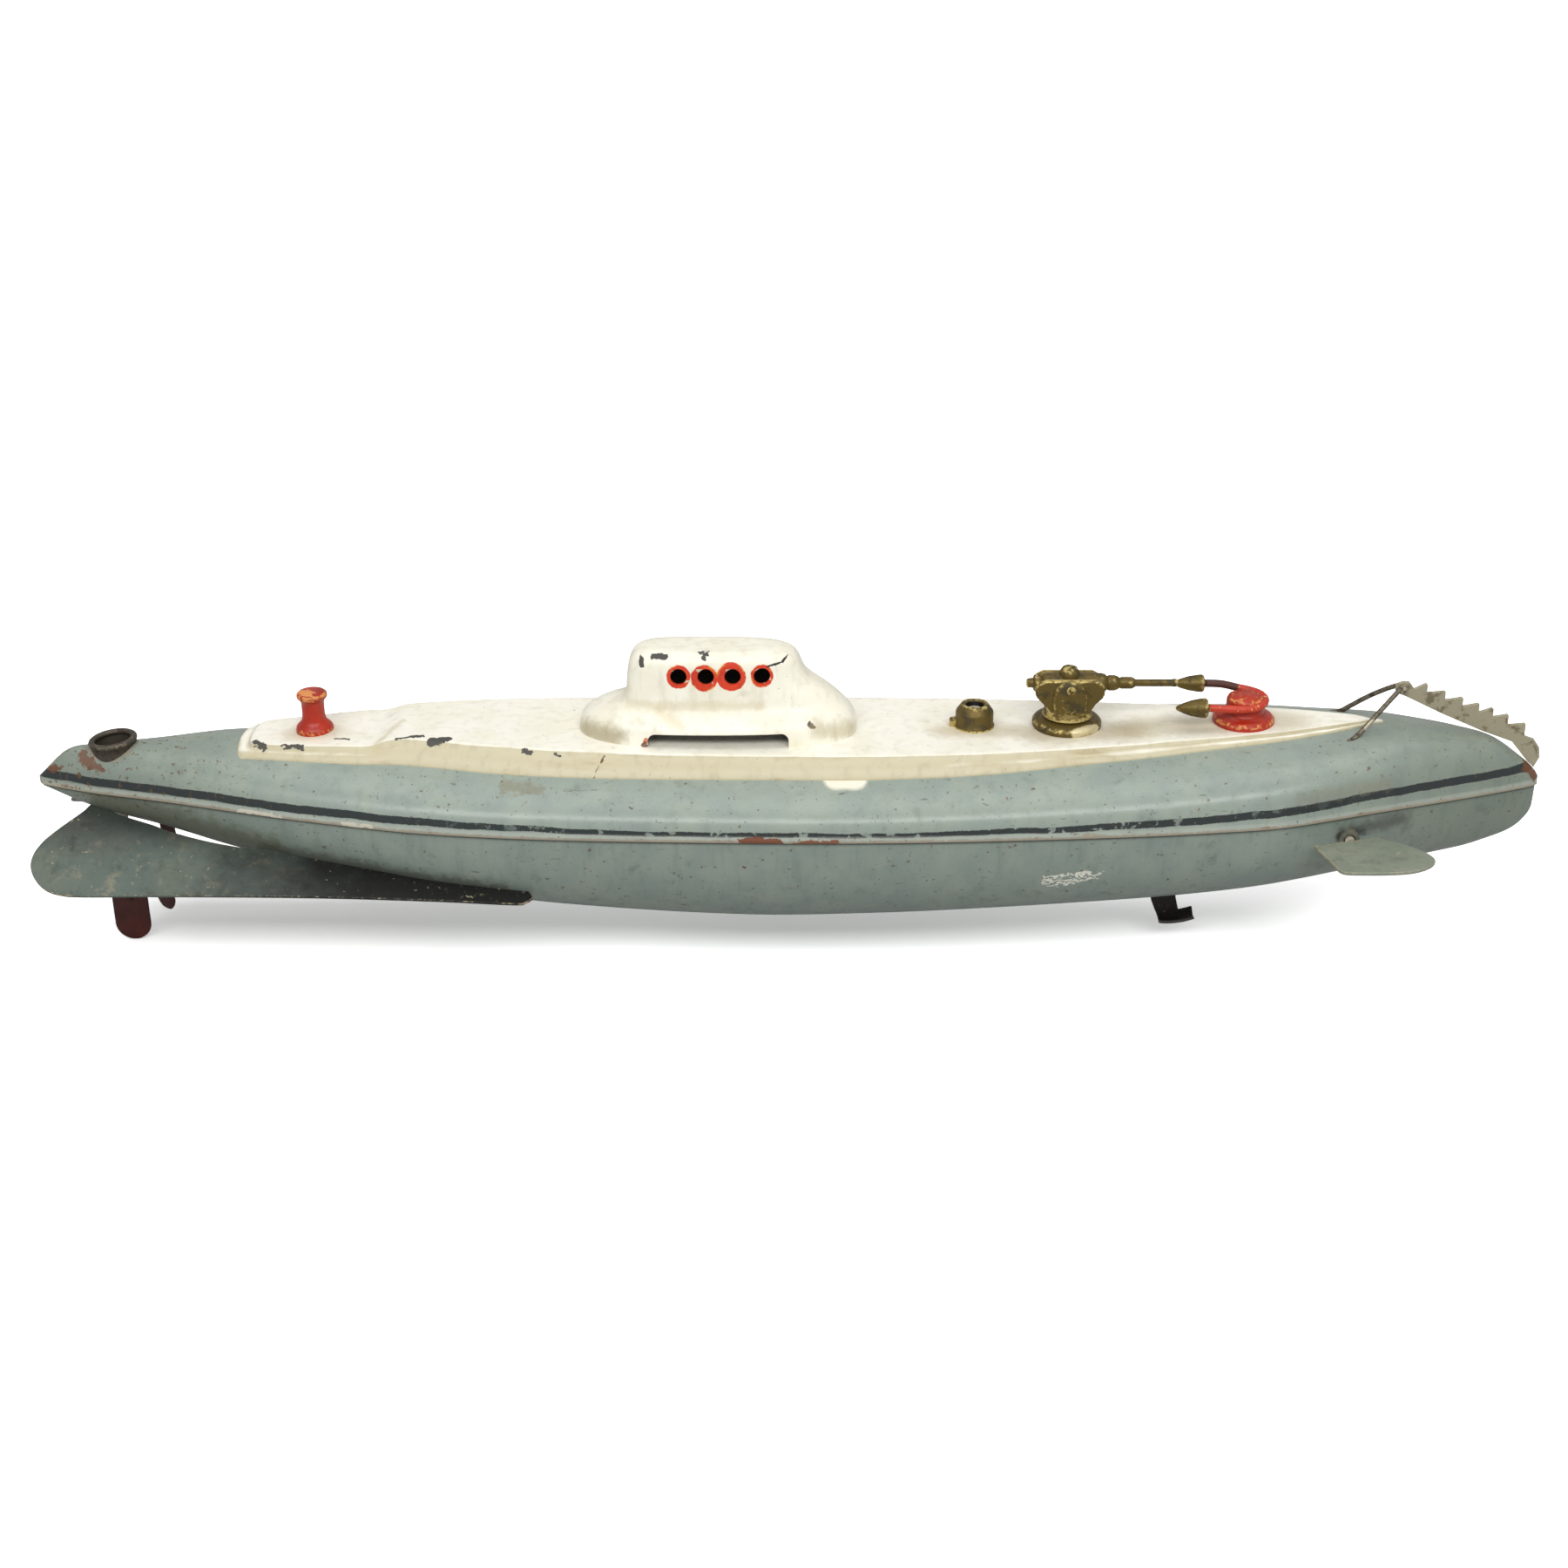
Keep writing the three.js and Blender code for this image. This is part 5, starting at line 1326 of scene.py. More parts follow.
@dataclass(frozen=True)
class SternGear:
    """Ring, rudder, tail fins, strut and screw."""

    ring_look: bpy.types.Material
    rudder_look: bpy.types.Material
    fin_look: bpy.types.Material
    steel: bpy.types.Material

    def ring(self) -> None:
        """Makes the rolled ring over the rudder head, and the trunk inside it."""
        profile = arc((4.55, 2.1), 0.72, -60, 240, 12)
        profile += [(3.9, -0.6), (3.9, -3.2), (4.6, -3.2), (4.75, -0.4)]
        piece = turned("rolled_ring", profile, (RING_X, 0, RING_Z), Matrix.Rotation(RING_TILT, 4, "Y"), 56, True)
        settle(piece, self.ring_look, Slot.DARK, "hull", "stern_ring")
        trunk = [(1.3, -9.2), (1.3, 3.6), (2.2, 3.6), (2.2, -9.2)]
        piece = turned("trunk_tube", trunk, (RUDDER_X, 0, 0), None, 28, True)
        settle(piece, self.steel, Slot.STEEL, "hull", "rudder_trunk")

    def rudder(self) -> None:
        """Makes the rudder's blade and stock."""
        outline = [(-4, -17), (-4, -35.6)] + arc((0, -35.6), 4, 180, 360, 16)[1:] + [(4, -17)]
        blade = plate("rudder_plate", outline, SHEET, Matrix.Translation((RUDDER_X, 0, 0)) @ UPRIGHT, 0.25, 0.6)
        settle(blade, self.rudder_look, Slot.DEEP_RED, "rudder", "rudder_blade")
        stock = [(0.02, 6.6), (0.7, 6.55), (1, 6.3), (1, -29.3), (0.8, -29.6), (0.02, -29.6)]
        piece = turned("rudder_rod", stock, (RUDDER_X, 0, 0), None, 24)
        settle(piece, self.rudder_look, Slot.DEEP_RED, "rudder", "rudder_stock")

    def fins(self) -> None:
        """Makes the two tail fins, which slope down and out from the hull."""
        lower = [
            (-54.6, 0.1), (-56.2, -1.1), (-58.8, -1.5), (-75.5, -0.6), (-101.7, 0.3), (-133.8, 0.6), (-151, 0.5),
            (-156, 0.9), (-159.4, 2.2), (-162.2, 4.9), (-163.8, 8.2), (-163.8, 11.5), (-162.4, 14.8), (-160.2, 17.6),
            (-157.6, 20.4), (-155.2, 22.9), (-154, 24.6), (-152.6, 25.3), (-151.2, 24.9), (-149.6, 23.7), (-147, 22), (-139.2, 19.2),
            (-135.3, 17.5), (-126.4, 14.8), (-116.2, 12.6),
        ]
        outline = smooth_outline(lower)
        outline += [(x, self.contact(x)) for x in (-112, -104, -96, -88, -80, -72, -64, -57)]
        slope = Matrix.Translation(FIN_EDGE) @ Matrix.Rotation(FIN_SLOPE, 4, "X")
        for side, name in ((1, "starboard"), (-1, "port")):
            matrix = Matrix.Scale(side, 4, (0, 1, 0)) @ slope @ Matrix.Translation((0, 0, 0.4))
            piece = plate(f"fin_{name}", outline, SHEET, matrix, 0.25, 0.7)
            settle(piece, self.fin_look, Slot.HULL, "hull", f"tail_fin_{name}")

    def contact(self, x: float) -> float:
        """Returns where a fin's plane meets the lower shell, up from its lower edge."""
        across, up = math.cos(FIN_SLOPE), math.sin(FIN_SLOPE)
        v = -1.0
        while v < 30 and not LINES.inside_lower(x, FIN_EDGE[1] + v * across, FIN_EDGE[2] + v * up):
            v += 0.1
        return min(v + FIN_ROOT_DEPTH, FIN_ROOT_LIMIT)

    def strut(self) -> None:
        """Makes the strut with its bearing."""
        matrix = Matrix.Translation(PROPELLER) @ ON_SHAFT
        leg = plate("strut_leg", [(2.6, 1), (5.6, 1), (5.6, 12), (2.6, 12)], 1.0, matrix @ UPRIGHT, 0.2)
        boss = turned("strut_boss", [(1.3, 6), (1.3, 2.4), (2, 2.4), (2.2, 2.7), (2.2, 5.7), (2, 6)], PROPELLER,
                      ON_SHAFT @ ALONG_X, 28, True)
        settle(joined("strut", leg, boss), self.rudder_look, Slot.DEEP_RED, "hull", "stern_strut")

    def screw(self) -> None:
        """Makes the three-bladed screw on its hub."""
        hub = turned("screw_hub", [(0.02, 2), (2, 2), (2.4, 1.6), (2.4, -0.9), (1.9, -1.7), (1.2, -2.1), (0.02, -2.2)],
                     PROPELLER, ON_SHAFT @ ALONG_X, 28)
        blades = [self.blade(120 * i) for i in range(3)]
        piece = joined("screw", hub, *blades)
        settle(piece, self.rudder_look, Slot.DEEP_RED, "screw_shaft", "propeller")

    def blade(self, degrees: float) -> bpy.types.Object:
        """Makes one twisted blade of the screw."""
        rings = []
        for i in range(9):
            share = i / 8
            r = 1.8 + 8.2 * share
            chord = 1.3 + 3.1 * math.sin(math.pi * min(share * 0.62 + 0.12, 1)) if share < 0.99 else 2.0
            pitch = math.radians(54 - 14 * share)
            ring = []
            for j in range(5):
                u = (j / 2 - 1) * chord * (1.0 if share < 0.85 else 0.86)
                lift = r - 0.35 * (u / 3) ** 2 * r * 0.25
                ring.append((u * math.cos(pitch), u * math.sin(pitch), lift))
            rings.append(ring)
        turn = Matrix.Translation(PROPELLER) @ ON_SHAFT @ Matrix.Rotation(math.radians(180 + degrees), 4, "X")
        piece = loft("screw_blade", [[turn @ Vector(p) for p in ring] for ring in rings], closed=False)
        solidify(piece, SHEET, 0.0)
        subdivide(piece, 2)
        return piece


def smooth_outline(points: list[Pair], steps: int = 4) -> list[Pair]:
    """Returns a smooth path through the points."""
    path = []
    for i in range(len(points) - 1):
        before, start, end, after = (points[min(max(i + k, 0), len(points) - 1)] for k in (-1, 0, 1, 2))
        for j in range(steps):
            t = j / steps
            path.append(tuple(
                0.5 * (2 * b + (c - a) * t + (2 * a - 5 * b + 4 * c - d) * t * t + (3 * b - a - 3 * c + d) * t**3)
                for a, b, c, d in zip(before, start, end, after)
            ))
    return [*path, points[-1]]


@dataclass(frozen=True)
class BowPlanes:
    """The tilting bow planes on their cross shaft, with their bushes."""

    paint: bpy.types.Material
    steel: bpy.types.Material
    bush: bpy.types.Material

    def build(self) -> None:
        """Makes both planes, the shaft and the bushes."""
        corners = [
            (-5.6, -32.4), (-4.4, -33.7), (0, -34), (5, -33.9), (9.8, -33.2), (13.6, -31.2), (15.6, -28.6), (15.4, -26),
            (13.4, -23), (10.6, -20.6), (6, -17.6),
        ]
        outline = [(-8.3, -21.4), (-7.9, -23.2), *smooth_outline(corners)]
        for side, name in ((1, "starboard"), (-1, "port")):
            matrix = Matrix.Translation((PLANE_X, 0, PLANE_Z)) @ Matrix.Scale(side, 4, (0, 1, 0))
            piece = plate(f"plane_{name}", outline, SHEET, matrix, 0.25, 0.7)
            settle(piece, self.paint, Slot.HULL, "bow_planes", f"bow_plane_{name}")
            bush = turned(f"plane_bush_{name}", [(1.3, 13.5), (1.3, 18.4), (2.2, 18.4), (2.2, 13.5)],
                          (PLANE_X, 0, PLANE_Z), Matrix.Rotation(math.radians(90 * side), 4, "X"), 28, True)
            settle(bush, self.bush, Slot.BRASS, "hull", f"bow_plane_bush_{name}")
        rod = turned("plane_shaft", [(0.02, 18.8), (1, 18.7), (1, -18.7), (0.02, -18.8)], (PLANE_X, 0, PLANE_Z), ALONG_Y, 24)
        settle(rod, self.steel, Slot.STEEL, "bow_planes", "bow_plane_shaft")


@dataclass(frozen=True)
class StopLever:
    """The lever that stops the clockwork, with its thumb tab under the hull."""

    look: bpy.types.Material

    def build(self) -> None:
        """Makes the lever with the curled lip of its tab."""
        outline = [
            (-2, 2.4), (2, 2.4), (8.8, -6), (9.5, -10.6), (10.4, -14.2), (8.2, -15.7), (5.8, -15.9), (4.2, -12), (2.6, -6), (-3, -2), (-20, 17.2),
            (-19, 18.2), (-17, 17.8),
        ]
        stand = Matrix.Translation((78, 0, -18))
        arm = plate("lever_arm", outline, SHEET, stand @ UPRIGHT, 0.15)
        lip = [(0.4, -14.6), (-0.6, -15.4), (-1.8, -15.9), (-2.8, -15.9), (-3.4, -15.4)]
        stations = ((5.7, 0.1), (8.2, 0), (10.8, 0.3), (13.5, 1.2))
        rings = [[(78 + x, y, -18 + z + rise) for y, z in lip] for x, rise in stations]
        tab = loft("lever_tab", rings, closed=False)
        solidify(tab, SHEET, 0.0)
        bevel(tab, 0.2, 2, 40)
        subdivide(tab, 1)
        settle(joined("lever", arm, tab), self.look, Slot.BLACKED, "stop_lever", "brake_lever")


@dataclass(frozen=True)
class Clockwork:
    """Finishes for the nodes that stay as packed: the motor, its shafts and the ballast."""

    brass: bpy.types.Material
    steel: bpy.types.Material
    lead: bpy.types.Material
    brass_nodes: tuple[str, ...] = (
        "gun_rivet", "great_wheel", "second_pinion", "crown_wheel", "shaft_pinion", "shaft_bearing", "motor_pillar_1",
        "motor_pillar_2", "motor_pillar_3", "motor_pillar_4", "motor_top_plate", "motor_base_plate", "stern_tube",
    )
    steel_nodes: tuple[str, ...] = (
        "propeller_shaft", "motor_cradle_aft", "motor_cradle_fore", "winding_arbor", "ratchet_wheel", "mainspring",
        "click_pawl", "second_arbor", "brake_pivot", "motor_screw_1", "motor_screw_2", "motor_screw_3", "motor_screw_4",
    )

    def dress(self) -> None:
        """Gives each node that stays its finish."""
        groups = ((self.brass, self.brass_nodes), (self.steel, self.steel_nodes), (self.lead, ("ballast_weight",)))
        for look, nodes in groups:
            for node in nodes:
                for slot in bpy.data.objects[node].material_slots:
                    slot.material = look


@dataclass(frozen=True)
class Studio:
    """Camera, lights and floor."""

    target: Triple = (-1.0, 0.0, -0.6)
    elevation: float = math.radians(25.5)
    distance: float = 480.5
    lens: float = 50.0

    def camera(self) -> None:
        """Places the camera square to the hull's starboard side, looking a little down."""
        data = bpy.data.cameras.new("camera")
        data.lens, data.sensor_width, data.clip_start = self.lens, 36.0, 0.01
        holder = bpy.data.objects.new("camera", data)
        bpy.context.scene.collection.objects.link(holder)
        away = Vector((0, -math.cos(self.elevation), math.sin(self.elevation)))
        holder.location = placed(self.target) + away * self.distance * MM
        holder.rotation_euler = (math.pi / 2 - self.elevation, 0, 0)
        bpy.context.scene.camera = holder

    def floor(self) -> None:
        """Makes the pale floor."""
        mesh = bpy.data.meshes.new("floor")
        mesh.from_pydata([(-0.9, -0.9, 0), (0.9, -0.9, 0), (0.9, 0.9, 0), (-0.9, 0.9, 0)], [], [[0, 1, 2, 3]])
        floor = bpy.data.objects.new("floor", mesh)
        bpy.context.scene.collection.objects.link(floor)
        look = bpy.data.materials.new("pale_floor")
        look.use_nodes = True
        look.node_tree.nodes.clear()
        net = Net(look.node_tree)
        seen = net.add("ShaderNodeLightPath").outputs["Is Camera Ray"]
        matt = net.add("ShaderNodeBsdfDiffuse", {"Color": net.mix(seen, (0.5, 0.5, 0.5), (1.8, 1.8, 1.8))})
        lift = net.add("ShaderNodeEmission", {"Color": (1, 1, 1), "Strength": net.math("MULTIPLY", seen, 0.14)})
        both = net.add("ShaderNodeAddShader", {0: matt.outputs[0], 1: lift.outputs[0]})
        net.add("ShaderNodeOutputMaterial", {0: both.outputs[0]})
        mesh.materials.append(look)

    def light(self, name: str, place: Triple, size: Pair, power: float, look_at: Triple = (0, 0, 0.04)) -> None:
        """Adds one soft rectangular light that faces a point."""
        data = bpy.data.lights.new(name, "AREA")
        data.shape, data.size, data.size_y, data.energy = "RECTANGLE", size[0], size[1], power
        holder = bpy.data.objects.new(name, data)
        bpy.context.scene.collection.objects.link(holder)
        holder.location = place
        holder.rotation_euler = (Vector(look_at) - Vector(place)).to_track_quat("-Z", "Y").to_euler()

    def build(self) -> None:
        """Makes the whole stage."""
        self.camera()
        self.floor()
        self.light("top_light", (0, 0.1, 1.15), (1.8, 0.6), 4.2)
        self.light("key_light", (0, -0.95, 0.95), (1.9, 0.4), 13.6)
        world = bpy.data.worlds.new("studio")
        world.use_nodes = True
        net = Net(world.node_tree)
        seen = net.add("ShaderNodeLightPath").outputs["Is Camera Ray"]
        net.feed(world.node_tree.nodes["Background"].inputs[0], (1, 1, 1))
        net.feed(world.node_tree.nodes["Background"].inputs[1], net.blend_values(seen, 0.46, 1.05))
        bpy.context.scene.world = world
        bpy.context.scene.view_settings.view_transform = "Standard"


TOWER_CHIPS = (
    Stroke((-28.9, -7.2, 31.9), (-26.0, -7.0, 32.0), 0.42, Tone.DARK_GREY.value, 0.4, (1, 0.1, 1)),
    Stroke((-31.5, -7.2, 31.5), (-31.3, -7.2, 30.2), 0.5, Tone.DARK_GREY.value, 0.7),
    Stroke((-19.0, -7.0, 32.6), (-17.2, -7.0, 32.3), 0.35, Tone.DARK_GREY.value, 0.8),
    Stroke((-18.2, -7.2, 32.0), (-17.8, -7.2, 31.6), 0.35, Tone.DARK_GREY.value, 0.6),
    Stroke((-4.4, -7.0, 30.0), (-1.2, -7.0, 30.8), 0.22, Tone.SOOT.value, 0.35),
    Stroke((-1.2, -7.0, 30.8), (0.8, -6.8, 32.2), 0.34, Tone.SOOT.value, 0.4),
    Stroke((4.4, -10.6, 18.2), (5.2, -11.0, 17.3), 0.5, Tone.DARK_GREY.value, 0.7),
    Stroke((-30.6, -12.3, 15.2), (-28.6, -12.4, 14.6), 0.6, tint(196, 104, 40), 0.8, (1, 0.15, 1), 0.85),
    Stroke((-30.8, -12.3, 14.5), (-30.4, -12.4, 13.8), 0.5, Tone.RUST.value, 0.8, (1, 0.15, 1), 0.9),
    Stroke((-27.7, -11.0, 20.6), (-23.2, -11.4, 18.2), 1.1, tint(206, 180, 120), 0.8, (1, 0.15, 1), 0.3, 0.7),
    Stroke((-46.0, -6.0, 15.2), (-37.0, -10.0, 15.4), 2.2, tint(140, 124, 78), 1.2, (1, 0.6, 1), 0.65, 0.8),
    Stroke((-34.5, -7.0, 30.5), (-35.0, -7.0, 24.0), 0.9, tint(188, 170, 124), 0.8, (1, 0.3, 1), 0.5, 0.8),
    Stroke((-34.0, -8.0, 21.5), (-6.0, -8.4, 21.6), 1.1, tint(206, 192, 152), 1.0, (1, 0.3, 1), 0.45, 0.8),
    Stroke((6.0, -9.0, 17.0), (14.0, -6.0, 15.0), 1.6, tint(170, 152, 104), 1.2, (1, 0.5, 1), 0.45, 0.8),
)
DECK_CHIPS_AND_SHADE = (
    Stroke((-115.4, -5.0, 11.6), (-113.0, -7.3, 12.0), 0.7, Tone.DARK_GREY.value, 0.9, (1, 1, 0.2)),
    Stroke((-116.6, -9.6, 9.5), (-115.2, -10.8, 9), 0.5, Tone.DARK_GREY.value, 0.8, (1, 1, 0.4)),
    Stroke((-108.7, -7.6, 12.3), (-104.2, -8.4, 12.4), 0.4, Tone.DARK_GREY.value, 0.9, (1, 1, 0.2)),
    Stroke((-98.0, -5.6, 12.9), (-94.9, -6.1, 12.9), 0.45, Tone.DARK_GREY.value, 0.9, (1, 1, 0.2)),
    Stroke((-83.7, -9.5, 14.5), (-79.2, -8.6, 14.6), 0.35, Tone.DARK_GREY.value, 0.7, (1, 1, 0.2)),
    Stroke((-80.4, -8.9, 14.5), (-78.6, -8.5, 14.6), 0.7, Tone.DARK_GREY.value, 0.9, (1, 1, 0.2)),
    Stroke((-76.2, -10.4, 14.4), (-73.0, -9.8, 14.4), 0.95, Tone.DARK_GREY.value, 0.9, (1, 0.8, 0.2)),
    Stroke((-56.4, -14.0, 14.0), (-54.6, -14.2, 14.0), 0.35, Tone.DARK_GREY.value, 0.7, (1, 1, 0.3)),
    Stroke((-49.6, -14.8, 13.8), (-48.6, -15.0, 13.6), 0.3, Tone.DARK_GREY.value, 0.6, (1, 1, 0.3)),
    Stroke((-39.0, -15.0, 13.2), (-40.2, -16.6, 11.5), 0.16, tint(110, 74, 40), 0.5, (1, 0.3, 1)),
    Stroke((-40.2, -16.6, 11.5), (-41.6, -18.6, 8.6), 0.14, tint(110, 74, 40), 0.5, (1, 0.3, 1)),
    # Painted shade along the fold where the deck steps up.
    Stroke((-88.5, -10.5, 13.4), (-84.0, 0.0, 14.4), 0.9, tint(196, 184, 148), 0.9, (1, 1, 0.2), 0.5, 0.8),
    Stroke((34.0, -3.0, 13.6), (47.0, -3.0, 13.6), 3.2, tint(176, 156, 108), 1.2, (1, 1, 0.2), 0.5, 0.8),
    Stroke((54.0, -5.0, 13.9), (72.0, -5.0, 14.1), 4.4, tint(160, 140, 94), 1.4, (1, 1, 0.2), 0.55, 0.8),
    Stroke((76.0, -3.0, 14.4), (108.0, -1.0, 15.0), 4.6, tint(172, 156, 116), 1.6, (1, 1, 0.2), 0.5, 0.8),
    Stroke((-106.0, -2.0, 12.6), (-100.0, -2.0, 12.8), 3.4, tint(186, 168, 122), 1.2, (1, 1, 0.2), 0.45, 0.8),
)
UPPER_MARKS = (
    Stroke((9.6, -18.6, 9.6), (14.2, -18.6, 9.6), 2.3, Tone.CREAM.value, 0.35, (1, 0.7, 0.7), soft=0.25),
    Stroke((-162.0, -2.0, 4.0), (-158.0, -5.0, 5.0), 0.9, Tone.RUST.value, 1.3, (1, 0.5, 1), 0.9),
    Stroke((-153.8, -3.0, 7.6), (-150.0, -6.0, 6.4), 1.2, Tone.RUST.value, 1.6, (1, 0.7, 0.7), 0.8),
    Stroke((161.0, -1.6, 4.4), (163.8, -1.2, 2.2), 1.1, Tone.RUST.value, 1.4, (1, 0.5, 1), 0.9),
    Stroke((108.0, -20.0, 6.0), (128.0, -14.0, 6.4), 1.4, tint(136, 132, 108), 1.8, (1, 0.2, 1), 0.35, 0.6),
    Stroke((-60.0, -22.0, 8.6), (-52.0, -23.0, 8.4), 0.8, tint(128, 118, 88), 1.4, (1, 0.2, 1), 0.5, 0.5),
)
SEAM_RUST = (
    Stroke((-9.5, -30.0, 0.4), (-2.0, -30.0, 0.2), 0.7, tint(112, 58, 30), 0.9, (1, 0.2, 1), 0.95),
    Stroke((1.5, -30.0, 0.1), (9.9, -30.0, 0.3), 0.55, tint(120, 66, 36), 1.0, (1, 0.2, 1), 0.9),
    Stroke((62.0, -28.0, 0.3), (70.0, -27.4, 0.2), 0.45, Tone.BARE_TIN.value, 0.9, (1, 0.2, 1), 0.9),
    Stroke((-94.0, -22.0, 0.4), (-88.0, -23.4, 0.3), 0.5, tint(196, 190, 172), 0.9, (1, 0.2, 1), 0.9),
    Stroke((-118.0, -15.0, 0.5), (-108.0, -18.0, 0.3), 0.4, tint(196, 190, 172), 0.9, (1, 0.2, 1), 0.9),
)
LOWER_MARKS = (
    Stroke((54.0, -24.6, -10.2), (66.6, -24.6, -9.4), 0.28, tint(228, 226, 210), 1.9, (1, 0.05, 1), 0.95, 0.3),
    Stroke((54.6, -24.6, -11.5), (65.0, -24.6, -10.8), 0.28, tint(228, 226, 210), 2.1, (1, 0.05, 1), 0.9, 0.3),
    Stroke((55.0, -24.6, -12.8), (60.4, -24.6, -12.4), 0.28, tint(228, 226, 210), 1.8, (1, 0.05, 1), 0.9, 0.3),
    Stroke((119.0, -16.0, -4.2), (132.0, -12.0, -3.0), 1.6, tint(54, 56, 48), 1.2, (1, 0.2, 1), 0.6, 0.8),
    Stroke((-150.0, -5.0, -3.0), (-112.0, -14.0, -9.0), 3.6, tint(82, 80, 62), 2.4, (1, 0.3, 1), 0.6, 0.6),
    Stroke((-112.0, -14.0, -10.0), (-62.0, -22.0, -15.5), 2.6, tint(70, 70, 56), 2.2, (1, 0.3, 1), 0.6, 0.6),
    Stroke((118.0, -14.0, -4.8), (123.0, -13.0, -4.6), 1.2, tint(40, 38, 32), 0.9, (1, 0.3, 1), 0.7, 0.5),
)


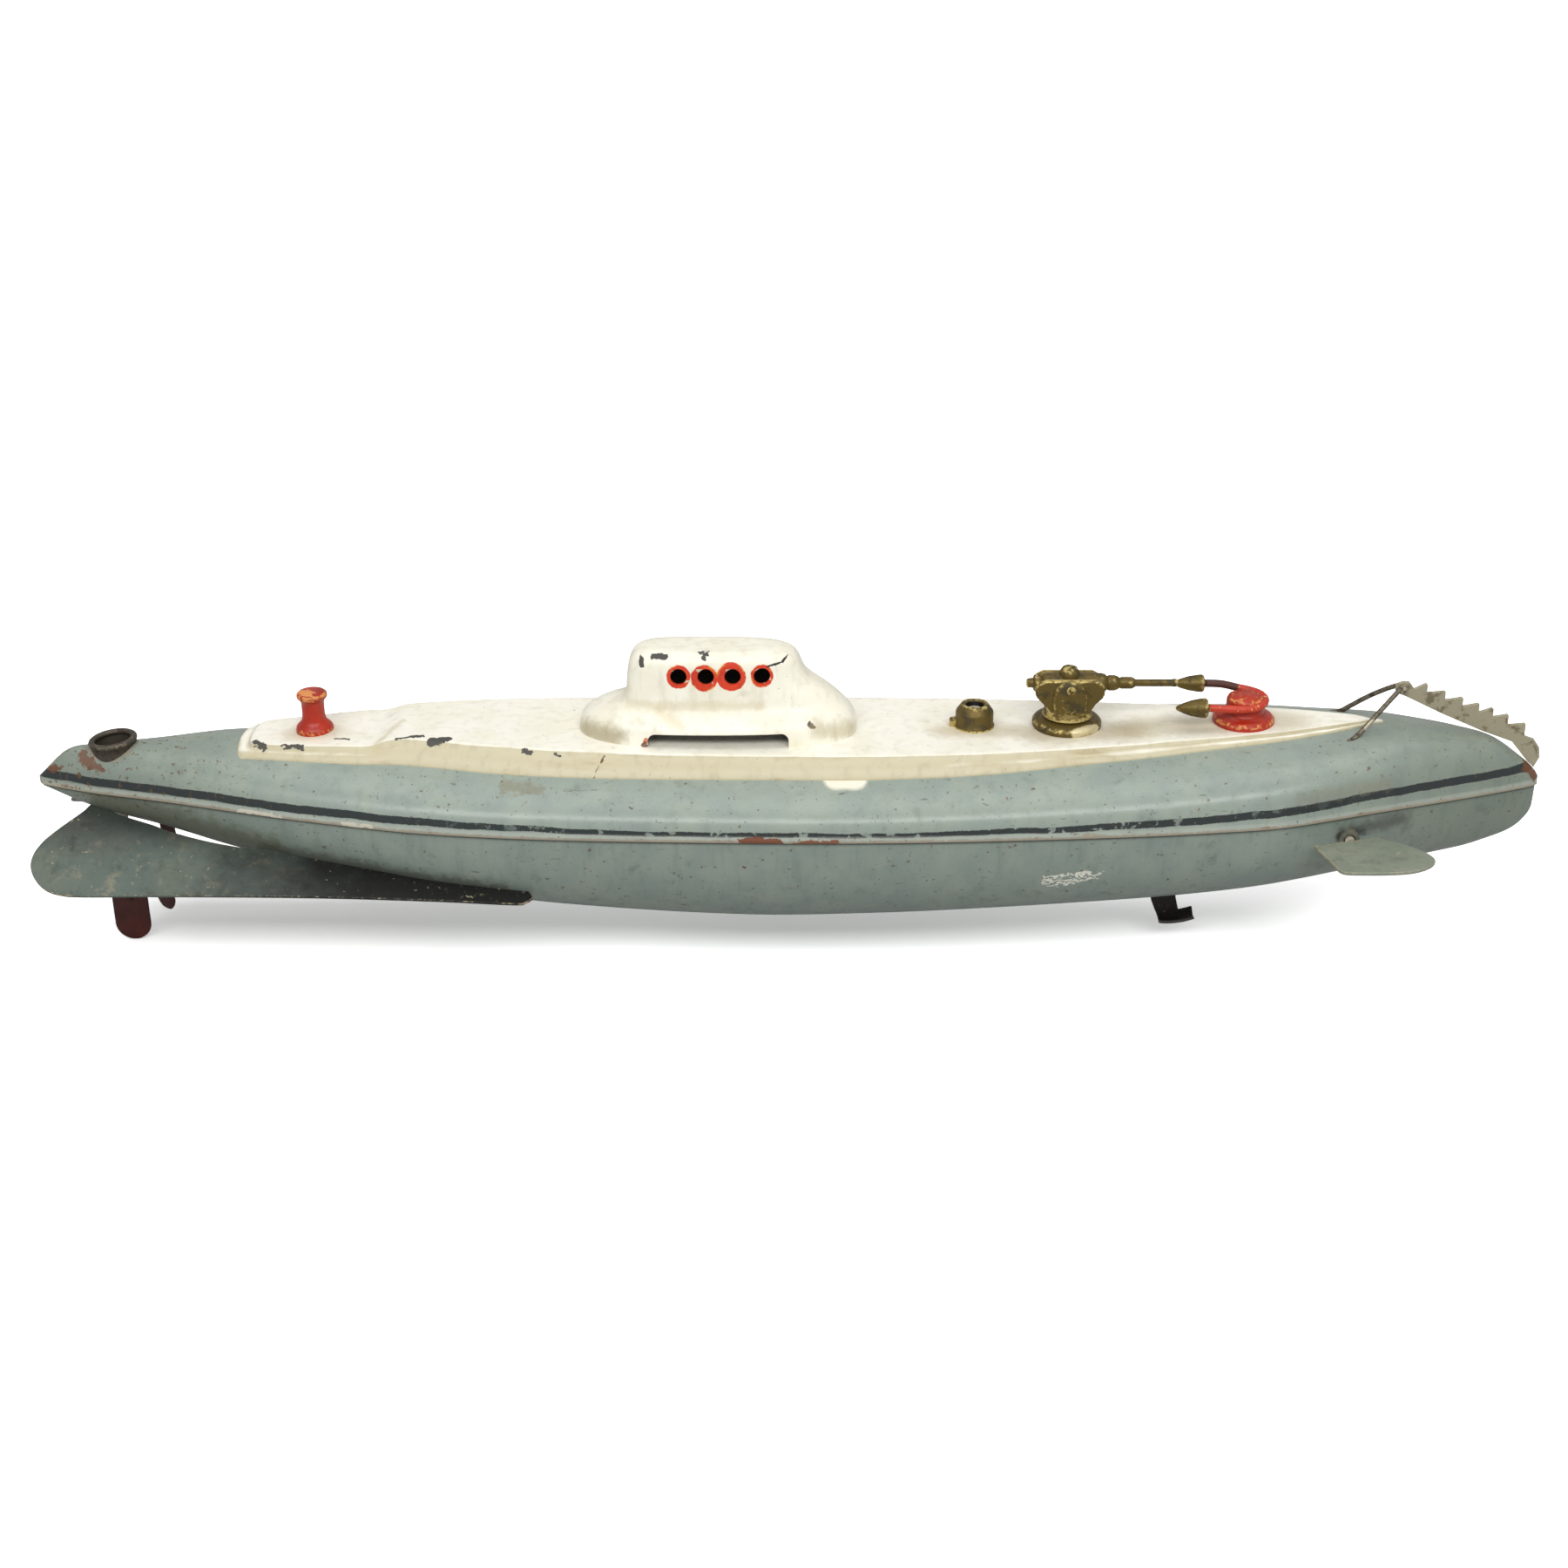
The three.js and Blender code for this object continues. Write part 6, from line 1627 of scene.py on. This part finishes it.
@dataclass
class Looks:
    """Every finish of the submarine."""

    upper: bpy.types.Material = field(default_factory=lambda: HullEnamel(
        "upper_enamel", tint(143, 155, 147), tint(154, 164, 152), grime=tint(120, 116, 90), grime_cover=0.34,
        grime_strength=0.4, chips=0.1, chip_scale=0.8, under=tint(118, 92, 66), edge_level=0.6, roughness=0.27,
        strokes=UPPER_MARKS + SEAM_RUST, lined=True).build())
    # The lower shell's base colours are darker than the upper shell's; part of that is painted shade on the underside.
    lower: bpy.types.Material = field(default_factory=lambda: HullEnamel(
        "lower_enamel", tint(128, 141, 133), tint(139, 149, 138), grime=tint(110, 104, 82), grime_cover=0.36,
        grime_strength=0.42, chips=0.1, chip_scale=0.8, under=tint(110, 88, 66), edge_level=0.6, roughness=0.3,
        strokes=LOWER_MARKS).build())
    fin: bpy.types.Material = field(default_factory=lambda: FinEnamel(
        "fin_enamel", tint(84, 97, 89), tint(98, 106, 94), grime=tint(96, 92, 72), grime_cover=0.46,
        grime_strength=0.5, chips=0.14, chip_scale=0.7, under=tint(150, 140, 116), edge_level=0.53,
        edge_colour=tint(176, 160, 130), roughness=0.42).build())
    plane: bpy.types.Material = field(default_factory=lambda: Enamel(
        "plane_enamel", tint(124, 132, 117), tint(138, 144, 128), grime=tint(104, 100, 80), grime_cover=0.42,
        grime_strength=0.5, chips=0.14, chip_scale=0.7, under=tint(158, 150, 128), edge_level=0.53,
        edge_colour=tint(170, 156, 126), roughness=0.42).build())
    tower: bpy.types.Material = field(default_factory=lambda: TowerEnamel(
        "tower_enamel", tint(245, 242, 226), tint(238, 233, 213), grime_cover=0.3, grime_strength=0.45, chips=0.02,
        under=Tone.DARK_GREY.value, edge_level=0.66, edge_colour=tint(210, 200, 170), roughness=0.33, strokes=TOWER_CHIPS,
        rings=(Ring(-23.4, 28, 2.55), Ring(-17.9, 27.7, 2.86), Ring(-12.2, 28, 3.1), Ring(-5.7, 28, 2.42))).build())
    deck: bpy.types.Material = field(default_factory=lambda: DeckEnamel(
        "deck_enamel", tint(246, 243, 230), tint(240, 236, 218), grime_cover=0.26, grime_strength=0.4, chips=0.04,
        under=Tone.DARK_GREY.value, edge_level=0.64, edge_colour=tint(190, 180, 150), roughness=0.36,
        strokes=DECK_CHIPS_AND_SHADE).build())
    # Painted shade: the tower's bare inside is made near black, so that the portholes and slot read dark.
    inside: bpy.types.Material = field(default_factory=lambda: Enamel(
        "bare_inside_shade_black", tint(40, 34, 28), tint(30, 26, 22), chips=0.0, roughness=0.8).build())
    red: bpy.types.Material = field(default_factory=lambda: Enamel(
        "red_enamel", tint(176, 44, 20), tint(150, 34, 18), grime=tint(120, 80, 60), grime_cover=0.3, grime_strength=0.5,
        chips=0.05, chip_scale=1.1, under=tint(196, 104, 56), edge_level=0.535, edge_colour=tint(222, 150, 84),
        roughness=0.34, bump=0.4).build())
    arm: bpy.types.Material = field(default_factory=lambda: Enamel(
        "worn_red_enamel", tint(196, 60, 36), tint(170, 48, 30), grime=tint(120, 80, 60), grime_cover=0.4, grime_strength=0.5,
        chips=0.2, chip_scale=0.7, under=tint(224, 178, 122), edge_level=0.6, edge_colour=tint(222, 150, 84),
        strokes=(Stroke((90.0, 4.6, 21.8), (96.8, 4.6, 20.9), 1.3, tint(66, 46, 36), 0.4, (1, 0.5, 0.5), 0.95, 0.3),)).build())
    deep_red: bpy.types.Material = field(default_factory=lambda: Enamel(
        "deep_red_enamel", tint(88, 34, 26), tint(62, 26, 22), grime=tint(60, 50, 44), grime_cover=0.5,
        chips=0.1, chip_scale=1.2, under=tint(40, 34, 32), edge_level=0.55, edge_colour=tint(60, 40, 34), roughness=0.45).build())
    gold: bpy.types.Material = field(default_factory=lambda: Metal(
        "olive_gold", tint(102, 85, 38), tint(68, 58, 26), tint(208, 186, 118), 0.55, 0.42, 0.5, 0.35, 0.54, 0.4,
        # Painted shade: the winding bush's bore is made near black.
        (Stroke((40.4, 0.0, 10.0), (40.4, 0.0, 19.0), 1.98, tint(22, 18, 12), 0.0, (1, 1, 0), 1.0, 0.02),
         # Painted highlight: a cream streak on the gun base's near rim.
         Stroke((61.5, -7.4, 15.0), (66.4, -4.6, 15.0), 0.9, tint(222, 208, 164), 0.4, (1, 1, 0.6), 0.9, 0.3))).build())
    steel: bpy.types.Material = field(default_factory=lambda: Metal(
        "dull_steel", tint(172, 165, 140), tint(118, 108, 84), tint(214, 206, 188), 0.5, 0.45, 0.45, 0.4, 0.55).build())
    wire: bpy.types.Material = field(default_factory=lambda: Metal(
        "dark_wire", tint(112, 104, 88), tint(58, 48, 38), tint(190, 180, 158), 0.6, 0.45, 0.5, 0.9, 0.56).build())
    dark: bpy.types.Material = field(default_factory=lambda: Metal(
        "rubbed_dark_metal", tint(84, 78, 68), tint(62, 48, 38), tint(150, 138, 118), 0.6, 0.5, 0.5, 0.7, 0.54).build())
    # Painted shade: the stop lever, which lies in shade under the hull, is made near black.
    blacked: bpy.types.Material = field(default_factory=lambda: Metal(
        "spring_steel_shade_black", tint(46, 42, 40), tint(34, 30, 28), tint(168, 152, 128), 0.6, 0.45, 0.4, 0.6, 0.54).build())
    brass: bpy.types.Material = field(default_factory=lambda: Metal(
        "clock_brass", tint(186, 150, 84), tint(120, 98, 52), tint(226, 200, 140), 0.95, 0.35, 0.35, 0.4, 0.55).build())
    lead: bpy.types.Material = field(default_factory=lambda: Metal(
        "cast_lead", tint(120, 122, 126), tint(90, 92, 96), tint(150, 152, 156), 0.6, 0.6, 0.5, 0.3, 0.6).build())


def main() -> None:
    logging.basicConfig(level=logging.INFO, format="%(message)s")
    Studio().build()
    looks = Looks()
    shells = HullShells(looks.upper, looks.lower)
    shells.upper()
    shells.lower()
    DeckTray(looks.deck).build()
    ConningTower(looks.tower, looks.inside).build()
    fittings = DeckFittings(looks.red, looks.arm, looks.gold, looks.steel, looks.wire)
    fittings.bollard()
    fittings.winding_bush()
    fittings.anchor()
    fittings.net_cutter()
    fittings.stays()
    gun = Gun(looks.gold)
    gun.base()
    gun.mount()
    gun.barrel()
    stern = SternGear(looks.dark, looks.deep_red, looks.fin, looks.steel)
    stern.ring()
    stern.rudder()
    stern.fins()
    stern.strut()
    stern.screw()
    BowPlanes(looks.plane, looks.steel, looks.lower).build()
    StopLever(looks.blacked).build()
    Clockwork(looks.brass, looks.steel, looks.lead).dress()
    bpy.context.view_layer.update()


if __name__ == "__main__":
    main()
